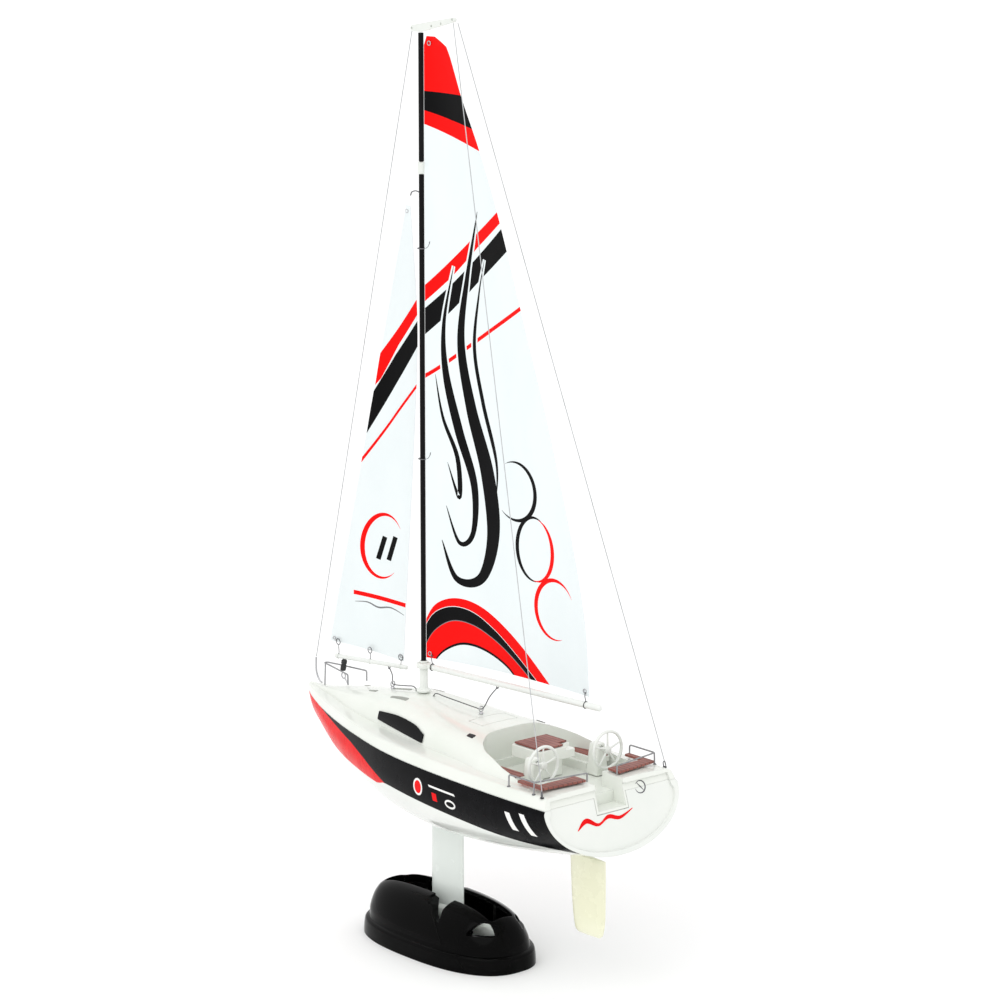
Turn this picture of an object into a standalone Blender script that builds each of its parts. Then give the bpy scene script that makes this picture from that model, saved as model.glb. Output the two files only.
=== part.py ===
"""A radio-controlled sailing yacht on its display stand, as an assembly of separate pieces.

The bow points to -Y, port is +X and up is +Z. The origin is on the floor, under the middle of
the stand and of the keel fin. Places are written as (forward, port, up) in millimetres.
"""
from math import cos, pi, radians, sin

import bmesh
import bpy
from mathutils import Matrix, Vector

MM = 0.001
GAP = 0.3                 # clearance between pieces that touch
SEGMENTS = 16             # sides of a small round piece

# Hull
BOW = 126.0
STERN = -137.0
WALL = 1.4                # thickness of the hull and deck mouldings
BEAM = ((126, 1.6), (118, 6), (100, 13.5), (75, 22.5), (45, 31.5), (10, 40), (-30, 45.5),
        (-75, 48.5), (-110, 49.3), (-137, 48.8))
JOINT = ((126, 126), (95, 123), (40, 121), (-20, 120.3), (-137, 120.3))
KEEL = ((126, 124), (121, 113), (110, 104.5), (95, 95), (80, 88), (50, 80.8), (20, 77), (-20, 76),
        (-60, 78), (-100, 82.5), (-137, 89.5))
TUMBLEHOME = ((126, 0), (40, 0.6), (-60, 3), (-137, 4))
FULLNESS = ((120, 1.35), (90, 1.5), (50, 1.75), (10, 2.1), (-40, 2.35), (-90, 2.3), (-137, 2.0))
WIDEST = ((126, 0.9), (60, 0.76), (-80, 0.78), (-137, 0.92))   # share of the hull's depth
STERN_RAKE = 0.33         # the stern's lower edge reaches further aft by this share of its height
STERN_LEVEL = 118.0       # height at which the stern is exactly at STERN

# Deck
SHEER = ((126, 130.5), (95, 129), (40, 127), (-20, 126.5), (-137, 126.5))
ROOF_RISE = ((126, 0.4), (116, 1), (90, 6.5), (60, 12.5), (21, 18.5), (-30, 16.5), (-50, 15.5),
             (-70, 13), (-90, 8.5), (-104, 2), (-137, 0.8))
ROOF_HALF = ((126, 0.5), (100, 6.5), (70, 15.5), (35, 22.5), (-10, 30), (-50, 34.5), (-80, 39.5),
             (-137, 39.5))
COCKPIT_FRONT = -55.0
COCKPIT_AFT = -118.0
SOLE = 119.5              # cockpit floor
BENCH = 124.5             # cockpit bench height
BENCH_AFT = -96.0
FOOT_WELL = 21.0          # half width of the floor between the benches
WALKWAY = 10.0            # half width of the opening through the stern
STEP = 113.0              # boarding step in the stern opening
STEP_FRONT = -127.0
RECESS = 1.3              # depth of the panel in the stern
HATCH = (-39.0, 12.0, 26.0)   # middle, length and width of the service hatch

# Keel, rudder and stand
FIN_TOP = 75.4
FIN_LEADING = 14.0
FIN_TRAILING = -13.0
FIN_THICKNESS = 5.0
BOLT_RADIUS = 1.5
BULB_LENGTH = 92.0
BULB_RADIUS = 8.2
BULB_HEIGHT = 17.0
RUDDER_AXIS = -112.0
STOCK_RADIUS = 1.4
TILLER_HEIGHT = 110.5
TILLER_ARM = 10.0         # from the rudder's axis to the pushrod
SERVO_SPINDLE = -92.0
WINCH_SPINDLE = -60.0
WINCH_ARM = 18.0
TRAY_TOP = 87.2           # top of the tray that carries the electronics
STAND_HALF_LENGTH = 61.5
STAND_HALF_WIDTH = 31.5
STAND_POWER = 2.5         # exponent of the stand's rounded-oval plan
STAND_WALL = 2.0
STAND_LEVELS = ((0, 1, 1, 0), (2, 1, 1, 0), (8, 0.99, 0.98, 0), (9.4, 0.975, 0.955, 0),
                (9.9, 0.95, 0.91, 0), (15, 0.94, 0.87, 0.5), (20, 0.915, 0.80, 1), (24, 0.88, 0.72, 1.5),
                (28, 0.81, 0.61, 2), (31, 0.68, 0.48, 2), (32.6, 0.5, 0.34, 1), (33, 0.3, 0.2, 0))
# each level: height, shares of the half length and half width, and shift forward

# Rig
MAST = 21.5               # the mast's place forward of the origin
MAST_RADIUS = 1.5
MAST_JOINT = (441.5, 448.0)
MAST_HEAD = 519.0
CRANE_FRONT = 28.5
CRANE_AFT = -7.0
CRANE_RISE = 7.0          # the crane climbs by this towards its aft end
SOCKET_RADIUS = 2.4
BOOM_HEIGHT = 161.4
BOOM_LENGTH = 135.5
BOOM_RADIUS = 1.8
BOOM_SWING = 5.5          # degrees to starboard, at rest
JIB_PIVOT = (94.5, 0.0, 147.5)
JIB_HEAD = (31.9, 0.0, 427.5)
JIB_BOOM_HEIGHT = 152.0
JIB_SWING = 15.0
MAIN_LEECH = ((166, 127), (210, 123), (300, 99.5), (374, 75), (425, 57.5), (458, 44), (485, 31),
              (508, 19.5), (513, 16.5), (517.4, 11.5))
MAIN_FOOT = 166.4
MAIN_LUFF = 2.7           # the sail's front edge, aft of the mast's axis
JIB_TACK = 11.0           # heights up the jib's swing axis
JIB_CLEW = 17.0
JIB_TOP = 282.0
JIB_LUFF = ((11, -11.8), (282, -1.5))
JIB_LEECH = ((17, 41), (48, 37.4), (173, 23.4), (220, 16.5), (282, 1.5))
SAIL_THICKNESS = 0.6
CAMBER = 0.045            # depth of the sails' curve as a share of their width
WIRE = 0.6                # diameter of the standing rigging
SHEET = 0.7
RAIL_WIRE = 1.0
WHEEL = (-107.5, 23.5, 135.0)
WHEEL_RADIUS = 11.2
TABLE = (-81.0, 0.0, 24.0, 26.0, 137.0)   # middle, middle, length, width, height of its top

COLOURS = {
    "white_abs": ((0.86, 0.88, 0.87), 0.25, 0.0),
    "cream": ((0.88, 0.86, 0.70), 0.3, 0.0),
    "black_gloss": ((0.01, 0.01, 0.012), 0.12, 0.0),
    "black_matt": ((0.02, 0.02, 0.022), 0.45, 0.0),
    "steel": ((0.55, 0.55, 0.56), 0.3, 1.0),
    "brass": ((0.78, 0.6, 0.3), 0.3, 1.0),
    "teak": ((0.35, 0.13, 0.11), 0.5, 0.0),
    "sail": ((0.9, 0.9, 0.9), 0.4, 0.0),
    "cordage": ((0.12, 0.12, 0.12), 0.7, 0.0),
    "board": ((0.03, 0.22, 0.08), 0.4, 0.0),
    "blue_wrap": ((0.05, 0.15, 0.5), 0.35, 0.0),
}


# ---------------------------------------------------------------- helpers

def at(forward, port, up):
    """A point given as (forward, port, up) in millimetres, in Blender's axes and metres."""
    return Vector((port, -forward, up)) * MM


def along(points, place):
    """Read a smooth value at a place from a short list of (place, value) design points."""
    points = sorted(points)
    if place <= points[0][0]:
        return points[0][1]
    if place >= points[-1][0]:
        return points[-1][1]
    index = max(i for i, point in enumerate(points) if point[0] <= place)
    index = min(index, len(points) - 2)
    (x0, y0), (x1, y1) = points[index], points[index + 1]
    slope = (y1 - y0) / (x1 - x0)
    before = points[index - 1] if index else (2 * x0 - x1, 2 * y0 - y1)
    after = points[index + 2] if index + 2 < len(points) else (2 * x1 - x0, 2 * y1 - y0)
    start = limited((y1 - before[1]) / (x1 - before[0]), slope, (y0 - before[1]) / (x0 - before[0]))
    end = limited((after[1] - y0) / (after[0] - x0), slope, (after[1] - y1) / (after[0] - x1))
    t = (place - x0) / (x1 - x0)
    width = x1 - x0
    return ((2 * t**3 - 3 * t**2 + 1) * y0 + (t**3 - 2 * t**2 + t) * width * start
            + (3 * t**2 - 2 * t**3) * y1 + (t**3 - t**2) * width * end)


def limited(slope, side_a, side_b):
    """Keep a tangent between zero and twice its neighbours, so that the curve has no bumps."""
    if side_a * side_b <= 0:
        return 0.0
    bound = 2 * min(abs(side_a), abs(side_b))
    return max(-bound, min(bound, slope))


def material(name):
    if name in bpy.data.materials:
        return bpy.data.materials[name]
    colour, roughness, metallic = COLOURS[name]
    made = bpy.data.materials.new(name)
    made.use_nodes = True
    shader = made.node_tree.nodes["Principled BSDF"]
    shader.inputs["Base Color"].default_value = (*colour, 1.0)
    shader.inputs["Roughness"].default_value = roughness
    shader.inputs["Metallic"].default_value = metallic
    return made


def clear_scene():
    for old in list(bpy.data.objects):
        bpy.data.objects.remove(old, do_unlink=True)
    for name in ("sailing_yacht", "cutters"):
        collection = bpy.data.collections.get(name) or bpy.data.collections.new(name)
        if collection.name not in bpy.context.scene.collection.children:
            bpy.context.scene.collection.children.link(collection)


def place(made, finish):
    """Put an object in the parts' collection with its material, or among the cutters."""
    for collection in list(made.users_collection):
        collection.objects.unlink(made)
    if finish is None:
        bpy.data.collections["cutters"].objects.link(made)
        made.hide_render = True
        made.display_type = "WIRE"
        return made
    bpy.data.collections["sailing_yacht"].objects.link(made)
    made.data.materials.clear()
    made.data.materials.append(material(finish))
    return made


def from_bmesh(name, bm, finish, smooth=True):
    bmesh.ops.recalc_face_normals(bm, faces=bm.faces)
    mesh = bpy.data.meshes.new(name)
    bm.to_mesh(mesh)
    bm.free()
    if smooth:
        mesh.shade_smooth()
        mesh.set_sharp_from_angle(angle=radians(35))
    return place(bpy.data.objects.new(name, mesh), finish)


def loft(name, rings, finish, closed=True):
    """Join rings of points with the same count into one closed body with flat ends."""
    bm = bmesh.new()
    made = [[bm.verts.new(point) for point in ring] for ring in rings]
    count = len(rings[0])
    for low, high in zip(made, made[1:]):
        for i in range(count if closed else count - 1):
            j = (i + 1) % count
            bm.faces.new((low[i], low[j], high[j], high[i]))
    bm.faces.new(made[0][::-1])
    bm.faces.new(made[-1])
    return from_bmesh(name, bm, finish)


def box(name, size, centre, finish, bevel=0.0):
    """A box of (length forward, width, height) millimetres, with its edges rounded."""
    bm = bmesh.new()
    bmesh.ops.create_cube(bm, size=1.0)
    length, width, height = size
    bmesh.ops.scale(bm, vec=Vector((width, length, height)) * MM, verts=bm.verts)
    bmesh.ops.translate(bm, vec=at(*centre), verts=bm.verts)
    made = from_bmesh(name, bm, finish, smooth=False)
    if bevel:
        rounding = made.modifiers.new("rounding", "BEVEL")
        rounding.width = bevel * MM
        rounding.segments = 2
    return made


def cylinder(name, radius, start, end, finish, sides=SEGMENTS, tip=None):
    """A rod between two places, which tapers when a tip radius is given."""
    first, last = at(*start), at(*end)
    axis = last - first
    bm = bmesh.new()
    bmesh.ops.create_cone(bm, cap_ends=True, segments=sides, radius1=radius * MM,
                          radius2=(radius if tip is None else tip) * MM, depth=axis.length)
    turn = axis.to_track_quat("Z", "Y").to_matrix().to_4x4()
    bmesh.ops.transform(bm, matrix=Matrix.Translation((first + last) / 2) @ turn, verts=bm.verts)
    return from_bmesh(name, bm, finish)


def ring(name, radius, thickness, centre, axis, finish, sides=20, around=8):
    """A torus around an axis, given as a (forward, port, up) direction."""
    bpy.ops.mesh.primitive_torus_add(major_radius=radius * MM, minor_radius=thickness * MM / 2,
                                     major_segments=sides, minor_segments=around)
    made = bpy.context.object
    made.name = name
    turn = at(*axis).to_track_quat("Z", "Y").to_matrix().to_4x4()
    made.data.transform(Matrix.Translation(at(*centre)) @ turn)
    made.data.shade_smooth()
    return place(made, finish)


def smooth_route(points, step):
    """Points about one step apart on a smooth curve through the route's own points."""
    points = [Vector(point) for point in points]
    route = []
    for i in range(len(points) - 1):
        a, b = points[i], points[i + 1]
        before = points[i - 1] if i else a
        after = points[i + 2] if i + 2 < len(points) else b
        pieces = max(1, round((b - a).length / step))
        for k in range(pieces):
            t = k / pieces
            route.append(0.5 * (2 * a + (b - before) * t + (2 * before - 5 * a + 4 * b - after) * t**2
                                + (3 * a - before - 3 * b + after) * t**3))
    route.append(points[-1])
    return route


def wire(name, points, diameter, finish, resolution=2):
    """A round wire or tube through places given in millimetres."""
    curve = bpy.data.curves.new(name, "CURVE")
    curve.dimensions = "3D"
    curve.bevel_depth = diameter * MM / 2
    curve.bevel_resolution = resolution
    curve.use_fill_caps = True
    spline = curve.splines.new("POLY")
    spline.points.add(len(points) - 1)
    for point, spot in zip(spline.points, points):
        point.co = (*at(*spot), 1.0)
    return place(bpy.data.objects.new(name, curve), finish)


def plate(name, outline, thickness, matrix, finish, holes=()):
    """A flat plate: a 2D outline in millimetres, with round holes, extruded to a thickness."""
    curve = bpy.data.curves.new(name, "CURVE")
    curve.dimensions = "2D"
    curve.fill_mode = "BOTH"
    curve.extrude = thickness * MM / 2
    shapes = [outline] + [[(x + r * cos(a), y + r * sin(a)) for a in turns(12)] for x, y, r in holes]
    for shape in shapes:
        spline = curve.splines.new("POLY")
        spline.points.add(len(shape) - 1)
        spline.use_cyclic_u = True
        for point, (x, y) in zip(spline.points, shape):
            point.co = (x * MM, y * MM, 0.0, 1.0)
    made = place(bpy.data.objects.new(name, curve), finish)
    made.matrix_world = matrix
    return made


def turns(count):
    return [2 * pi * i / count for i in range(count)]


def boolean(made, tool, operation):
    step = made.modifiers.new(f"{operation.lower()}_{tool.name}"[:60], "BOOLEAN")
    step.object = tool
    step.operation = operation
    step.solver = "EXACT"
    return made


def cut(made, *tools):
    for tool in tools:
        boolean(made, tool, "DIFFERENCE")
    return made


def join(made, *tools):
    for tool in tools:
        boolean(made, tool, "UNION")
    return made


def side_prism(name, outline, half_width, finish=None):
    """A prism across the boat from a side outline of (forward, up) places."""
    rings = [[at(f, side * half_width, z) for f, z in outline] for side in (-1, 1)]
    return loft(name, rings, finish)


def plan_prism(name, outline, bottom, top, finish=None):
    """An upright prism from a plan outline of (forward, port) places."""
    rings = [[at(f, p, z) for f, p in outline] for z in (bottom, top)]
    return loft(name, rings, finish)


def rounded_oval(half_length, half_width, power, count, centre=0.0):
    """Places around a superellipse in plan."""
    spots = []
    for angle in turns(count):
        c, s = cos(angle), sin(angle)
        spots.append((centre + half_length * abs(c) ** (2 / power) * (1 if c > 0 else -1),
                      half_width * abs(s) ** (2 / power) * (1 if s > 0 else -1)))
    return spots


# ---------------------------------------------------------------- hull and deck

def hull_section(forward, inset=0.0):
    """Places across the hull from the port joint line round the keel to the starboard one."""
    beam = max(along(BEAM, forward) - inset, 0.6)
    keel = along(KEEL, forward) + inset
    top = along(JOINT, forward)
    widest = keel + (top - keel) * along(WIDEST, forward)
    deck_half = max(beam - along(TUMBLEHOME, forward) * 0.35, 0.4)
    fullness = along(FULLNESS, forward)
    half = []
    for i in range(10):
        angle = i / 9 * pi / 2
        half.append((beam * sin(angle) ** (2 / fullness),
                     widest - (widest - keel) * cos(angle) ** (2 / fullness)))
    for t in (0.5, 1.0):
        half.append((beam - (beam - deck_half) * t * t, widest + (top - widest) * t))
    if inset:
        half.append((deck_half, top + 12))
    starboard = [(-p, z) for p, z in half[::-1]]
    return [(p, z) for p, z in starboard[:-1] + half]


def stations(first, last, count):
    """Stations that crowd together towards both ends."""
    return [first + (last - first) * (0.5 - 0.5 * cos(pi * i / count)) for i in range(count + 1)]


def raked(forward, up):
    """Lean the last stations, so that the stern slopes aft towards its lower edge."""
    share = max(0.0, min(1.0, (-100 - forward) / (-100 - STERN)))
    return forward + STERN_RAKE * (up - STERN_LEVEL) * share


def section_loft(name, span, section, finish):
    return loft(name, [[at(raked(f, z), p, z) for p, z in section(f)] for f in span], finish)


def hull_shell():
    hull = section_loft("hull_shell", stations(STERN, BOW, 22), hull_section, "white_abs")
    inside = section_loft("hull_inside", stations(STERN + 3.2, 119, 20),
                          lambda f: hull_section(f, WALL), None)
    step_half = WALKWAY + WALL + GAP
    notch = box("stern_opening", (30, 2 * step_half, 40), (STERN, 0, STEP - WALL - GAP + 20), None)
    keel_hole = cylinder("keel_bolt_hole", BOLT_RADIUS + 0.6, (0, 0, 70), (0, 0, 84), None)
    tube_hole = cylinder("rudder_tube_hole", 2.3, (RUDDER_AXIS, 0, 75), (RUDDER_AXIS, 0, 100), None)
    return cut(hull, inside, stern_recess(), notch, keel_hole, tube_hole)


def stern_recess():
    """The shallow panel sunk into the stern inside a raised rim, across hull and deck."""
    low = hull_section(STERN)
    rim = [(p * 0.93, 104 + (z - 104) * 0.83) for p, z in low]
    top = max(z for _, z in rim)
    rim = [(rim[0][0] * 0.97, top + 7)] + rim + [(rim[-1][0] * 0.97, top + 7)]
    return section_loft("stern_recess", (STERN - 5, STERN + RECESS), lambda f: rim, None)


def deck_profile(forward, drop=0.0, inset=0.0):
    """Places across the deck from port to starboard: gunwale, side deck, roof side and roof."""
    joint = along(JOINT, forward) + GAP
    edge = max(along(BEAM, forward) - along(TUMBLEHOME, forward) * 0.35 - inset, 0.4)
    side = along(SHEER, forward) - drop
    tumble = along(TUMBLEHOME, forward)
    half_roof = min(along(ROOF_HALF, forward), edge * 0.82) - inset * 0.6
    rise = along(ROOF_RISE, forward)
    half = [(edge, joint - drop * 2), (edge, joint),
            (edge - 0.25 * tumble, joint + (side - joint) * 0.55),
            (edge - 0.6 * tumble - 0.4, side - 0.5),
            (max(edge - tumble - 1.6, half_roof * 1.02), side),
            (half_roof, side + rise * 0.06),
            (half_roof * 0.93, side + rise * 0.45),
            (half_roof * 0.80, side + rise * 0.70),
            (half_roof * 0.52, side + rise * 0.89),
            (half_roof * 0.25, side + rise * 0.98),
            (0.0, side + rise)]
    return half + [(-p, z) for p, z in half[-2::-1]]


def roof_side(forward, height):
    """How far out the roof's side is at a height."""
    side = deck_profile(forward)[5:11]
    for (p0, z0), (p1, z1) in zip(side, side[1:]):
        if z0 <= height <= z1:
            return p0 + (p1 - p0) * (height - z0) / (z1 - z0)
    return side[0][0]


def roof_top(forward):
    return along(SHEER, forward) + along(ROOF_RISE, forward)


def cockpit_outline(grow=0.0):
    """Plan of the cockpit well, narrow forward and wide round the helm wheels."""
    front, aft = COCKPIT_FRONT + grow, COCKPIT_AFT - grow
    half = [(front, 18 + grow), (front - 5, 26 + grow), (-68, 31 + grow), (-88, 35.5 + grow),
            (aft + 7, 36.5 + grow), (aft, 31 + grow)]
    return half + [(f, -p) for f, p in half[::-1]]


def deck_moulding():
    deck = section_loft("deck_moulding", stations(STERN, BOW, 28), deck_profile, "white_abs")
    under = section_loft("deck_underside", stations(STERN + 3.2, 121, 24),
                         lambda f: deck_profile(f, WALL, WALL), None)
    boolean(under, plan_prism("well_column", cockpit_outline(WALL), 100, 170), "DIFFERENCE")
    step_half = WALKWAY + WALL
    boolean(under, box("passage_column", (40, 2 * step_half, 60), (-136, 0, 130), None), "DIFFERENCE")
    low, high = STEP - WALL, 125
    aft_end = STERN + 2 * GAP
    step_side = [(raked(aft_end, low), low), (raked(aft_end, high), high), (STEP_FRONT + WALL, high),
                 (STEP_FRONT + WALL, low)]
    join(deck, plan_prism("well_body", cockpit_outline(WALL), SOLE - WALL, 126),
         side_prism("step_body", step_side, step_half),
         box("passage_body", (20, 2 * step_half, 125 - SOLE + WALL), (-125, 0, (125 + SOLE - WALL) / 2),
             None))
    seats = plan_prism("cockpit_space", cockpit_outline(), BENCH, 170)
    feet = box("foot_well", (COCKPIT_FRONT - COCKPIT_AFT - 4, 2 * FOOT_WELL, 60),
               ((COCKPIT_FRONT + COCKPIT_AFT) / 2, 0, SOLE + 30), None)
    aft = [(BENCH_AFT + 3, 35.3), (COCKPIT_AFT + 7, 36), (COCKPIT_AFT + 0.5, 31)]
    helm = plan_prism("helm_well", aft + [(f, -p) for f, p in aft[::-1]], SOLE, 170)
    passage = box("stern_passage", (60, 2 * WALKWAY, 60), (-145, 0, SOLE + 30), None)
    step = box("boarding_step", (20, 2 * WALKWAY, 60), (STEP_FRONT - 10, 0, STEP + 30), None)
    cut(deck, under, seats, feet, helm, passage, step, stern_recess())
    for index, forward in enumerate((28.0, 12.5)):
        cut(deck, cylinder(f"sheet_hole_{index}", 0.9, (forward, 0, 120), (forward, 0, 165), None))
    return cut(deck, box("hatch_opening", (HATCH[1], HATCH[2], 40), (HATCH[0], 0, 150), None))


def service_hatch():
    """The lift-off panel that closes the opening in the roof, flush with it."""
    hatch = section_loft("service_hatch", stations(-60, -20, 8), deck_profile, "white_abs")
    under = section_loft("hatch_underside", stations(-62, -18, 8),
                         lambda f: deck_profile(f, WALL, WALL), None)
    keep = box("hatch_edge", (HATCH[1] - 2 * GAP, HATCH[2] - 2 * GAP, 40), (HATCH[0], 0, 150), None)
    boolean(hatch, keep, "INTERSECT")
    return cut(hatch, under)


def cabin_window(side):
    """A dark pane on the side of the roof, with an arched upper edge."""
    lower = ((-14, 128.6), (36, 130.8))
    upper = ((-14, 133.2), (-2, 136.4), (14, 137.2), (36, 135.4))
    bm = bmesh.new()
    rows = []
    for i in range(9):
        forward = -13.5 + 49 * i / 8
        low, high = along(lower, forward), along(upper, forward)
        heights = [low + (high - low) * t for t in (0, 0.35, 0.7, 1)]
        rows.append([bm.verts.new(at(forward, side * (roof_side(forward, z) + 0.4), z)) for z in heights])
    for row, following in zip(rows, rows[1:]):
        for i in range(3):
            corners = (row[i], row[i + 1], following[i + 1], following[i])
            bm.faces.new(corners if side > 0 else corners[::-1])
    name = "cabin_window_port" if side > 0 else "cabin_window_starboard"
    return thicken(name, bm, 0.5, "black_gloss")


def thicken(name, bm, thickness, finish, middle=False):
    """Give an open surface a thickness, outwards or to both sides."""
    mesh = bpy.data.meshes.new(name)
    bm.to_mesh(mesh)
    bm.free()
    mesh.shade_smooth()
    mesh.set_sharp_from_angle(angle=radians(35))
    made = place(bpy.data.objects.new(name, mesh), finish)
    wall = made.modifiers.new("thickness", "SOLIDIFY")
    wall.thickness = thickness * MM
    wall.offset = 0.0 if middle else 1.0
    return made


# ---------------------------------------------------------------- keel and rudder

def foil(name, levels, thickness, finish, count=8):
    """A blade with a rounded nose and a thin tail, from (height, leading, trailing) levels."""
    rings = []
    for up, leading, trailing in levels:
        chord = leading - trailing
        half = []
        for i in range(count + 1):
            t = (1 - cos(pi * i / count)) / 2
            depth = 2.6 * (0.2969 * t**0.5 - 0.126 * t - 0.3516 * t**2 + 0.2843 * t**3 - 0.0936 * t**4)
            half.append((leading - chord * t, thickness * depth + 0.25))
        port = [at(f, p, up) for f, p in half]
        starboard = [at(f, -p, up) for f, p in half[::-1]]
        rings.append(port + starboard)
    return loft(name, rings, finish)


def keel():
    bottom = BULB_HEIGHT + BULB_RADIUS - 3.0
    fin = foil("keel_fin", ((bottom, FIN_LEADING, FIN_TRAILING), (FIN_TOP, FIN_LEADING, FIN_TRAILING)),
               FIN_THICKNESS, "white_abs")
    cut(fin, cylinder("fin_bolt_hole", BOLT_RADIUS + GAP, (0, 0, 60), (0, 0, 80), None))
    bulb = keel_bulb()
    slot = foil("bulb_slot", ((bottom - GAP, FIN_LEADING + GAP, FIN_TRAILING - GAP),
                              (40, FIN_LEADING + GAP, FIN_TRAILING - GAP)), FIN_THICKNESS + 0.8, None)
    cut(bulb, slot)
    cylinder("keel_bolt", BOLT_RADIUS, (0, 0, 60 + GAP), (0, 0, 96), "steel")
    nut = cylinder("keel_nut", 4.0, (0, 0, TRAY_TOP + GAP), (0, 0, TRAY_TOP + 4), "steel", sides=6)
    cut(nut, cylinder("nut_bore", BOLT_RADIUS + GAP, (0, 0, 80), (0, 0, 100), None))


def keel_bulb():
    """A torpedo: a turned profile round its own length."""
    half = BULB_LENGTH / 2
    bm = bmesh.new()
    verts = []
    for i in range(12):
        t = i / 11
        forward = half * cos(pi * t)
        nose = max(0.0, 1 - (forward / half) ** 2) ** (0.5 if forward > 0 else 0.75)
        verts.append(bm.verts.new(Vector((BULB_RADIUS * nose, 0, forward)) * MM))
    for low, high in zip(verts, verts[1:]):
        bm.edges.new((low, high))
    mesh = bpy.data.meshes.new("keel_bulb")
    bm.to_mesh(mesh)
    bm.free()
    bulb = place(bpy.data.objects.new("keel_bulb", mesh), "white_abs")
    turn = bulb.modifiers.new("turned", "SCREW")
    turn.axis = "Z"
    turn.steps = turn.render_steps = 16
    turn.merge_threshold = 0.00001
    turn.use_merge_vertices = True
    bulb.matrix_world = Matrix.Translation(at(0, 0, BULB_HEIGHT)) @ Matrix.Rotation(pi / 2, 4, "X")
    return bulb


def rudder():
    blade = foil("rudder_blade", ((37, -110.5, -127.5), (39, -108.5, -130), (50, -106.3, -131.8),
                                  (68, -104.8, -131.9), (81.5, -104.0, -131.7)), 4.2, "cream")
    cut(blade, cylinder("blade_bore", STOCK_RADIUS + GAP, (RUDDER_AXIS, 0, 62), (RUDDER_AXIS, 0, 90), None))
    cylinder("rudder_stock", STOCK_RADIUS, (RUDDER_AXIS, 0, 62 + GAP), (RUDDER_AXIS, 0, 113), "steel")
    tube = cylinder("rudder_tube", 2.0, (RUDDER_AXIS, 0, 85.4), (RUDDER_AXIS, 0, 108), "brass")
    cut(tube, cylinder("tube_bore", STOCK_RADIUS + 0.3, (RUDDER_AXIS, 0, 80), (RUDDER_AXIS, 0, 112), None))
    lever("tiller_arm", (RUDDER_AXIS, 0), (RUDDER_AXIS, TILLER_ARM), TILLER_HEIGHT, STOCK_RADIUS + 0.3)
    lever("rudder_servo_horn", (SERVO_SPINDLE, 0), (SERVO_SPINDLE, TILLER_ARM), TILLER_HEIGHT, 1.3)
    low, high = TILLER_HEIGHT - 1, TILLER_HEIGHT + 3
    wire("rudder_pushrod", [(SERVO_SPINDLE, TILLER_ARM, low), (SERVO_SPINDLE, TILLER_ARM, high),
                            (RUDDER_AXIS, TILLER_ARM, high), (RUDDER_AXIS, TILLER_ARM, low)],
         0.9, "steel", resolution=2)


def lever(name, hub, end, height, bore, finish="white_abs"):
    """A flat arm with a round hub, a bore for its shaft and a small hole at its end."""
    (f0, p0), (f1, p1) = hub, end
    length = ((f1 - f0) ** 2 + (p1 - p0) ** 2) ** 0.5
    ux, uy = (f1 - f0) / length, (p1 - p0) / length
    outline = []
    for i in range(9):
        angle = pi / 2 + pi * i / 8
        outline.append((3.2 * cos(angle), 3.2 * sin(angle)))
    for i in range(7):
        angle = -pi / 2 + pi * i / 6
        outline.append((length + 1.6 * cos(angle), 1.6 * sin(angle)))
    places = [(f0 + x * ux - y * uy, p0 + x * uy + y * ux) for x, y in outline]
    arm = plan_prism(name, places, height, height + 1.6, finish)
    cut(arm, cylinder(f"{name}_bore", bore, (f0, p0, height - 3), (f0, p0, height + 5), None, sides=12),
        cylinder(f"{name}_hole", 0.8, (f1, p1, height - 3), (f1, p1, height + 5), None, sides=10))
    return arm


# ---------------------------------------------------------------- radio gear

def radio_gear():
    half = [(50, 9), (20, 14), (-98, 14)]
    tray = plan_prism("equipment_tray", half + [(f, -p) for f, p in half[::-1]], TRAY_TOP - 1.2, TRAY_TOP,
                      "black_matt")
    cut(tray, cylinder("tray_hole", BOLT_RADIUS + 0.6, (0, 0, 80), (0, 0, 95), None))
    floor = TRAY_TOP + GAP
    servo("rudder_servo", SERVO_SPINDLE, floor, 21.0, TILLER_HEIGHT)
    servo("sail_winch_servo", WINCH_SPINDLE, floor, 22.5, 112.0)
    lever("sail_winch_arm", (WINCH_SPINDLE, 0), (WINCH_SPINDLE - WINCH_ARM, 0), 112.0, 1.3)
    box("battery_pack", (44, 20, 19), (36, 0, floor + 9.5), "blue_wrap", bevel=1.5)
    board = box("receiver_board", (24, 22, 1.2), (-20, 0, floor + 0.6), "board")
    join(board, box("receiver_chip", (7, 7, 2), (-17, 3, floor + 1.7), None),
         box("receiver_plug", (6, 14, 5), (-27, 0, floor + 3.2), None))
    switch = box("power_switch", (9, 6, 4.5), (-38.5, 0, floor + 2.25), "black_matt", bevel=0.4)
    cut(switch, box("switch_slot", (5.6, 2.6, 3), (-38.5, 0, floor + 4.6), None))
    box("switch_slider", (2, 2, 3.5), (-39.7, 0, floor + 3.35 + 1.6), "white_abs")


def servo(name, spindle, floor, height, shaft_top):
    """A small servo case with mounting ears and its output shaft at one end."""
    case = box(name, (23, 12, height), (spindle + 5, 0, floor + height / 2), "blue_wrap", bevel=0.6)
    ears = box(f"{name}_ears", (31, 11.4, 1.6), (spindle + 5, 0, floor + height * 0.7), None)
    shaft = cylinder(f"{name}_shaft", 1.0, (spindle, 0, floor + height - 1), (spindle, 0, shaft_top + 1.8),
                     None, sides=12)
    return join(case, ears, shaft)


# ---------------------------------------------------------------- rig

def swing(angle, axis_start, axis_end):
    """The matrix that turns a piece by degrees about an upward axis, its aft end to starboard."""
    start, end = at(*axis_start), at(*axis_end)
    turn = Matrix.Rotation(radians(angle), 4, (end - start).normalized())
    return Matrix.Translation(start) @ turn @ Matrix.Translation(-start)


def boom_swing():
    return swing(BOOM_SWING, (MAST, 0, 0), (MAST, 0, 100))


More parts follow.
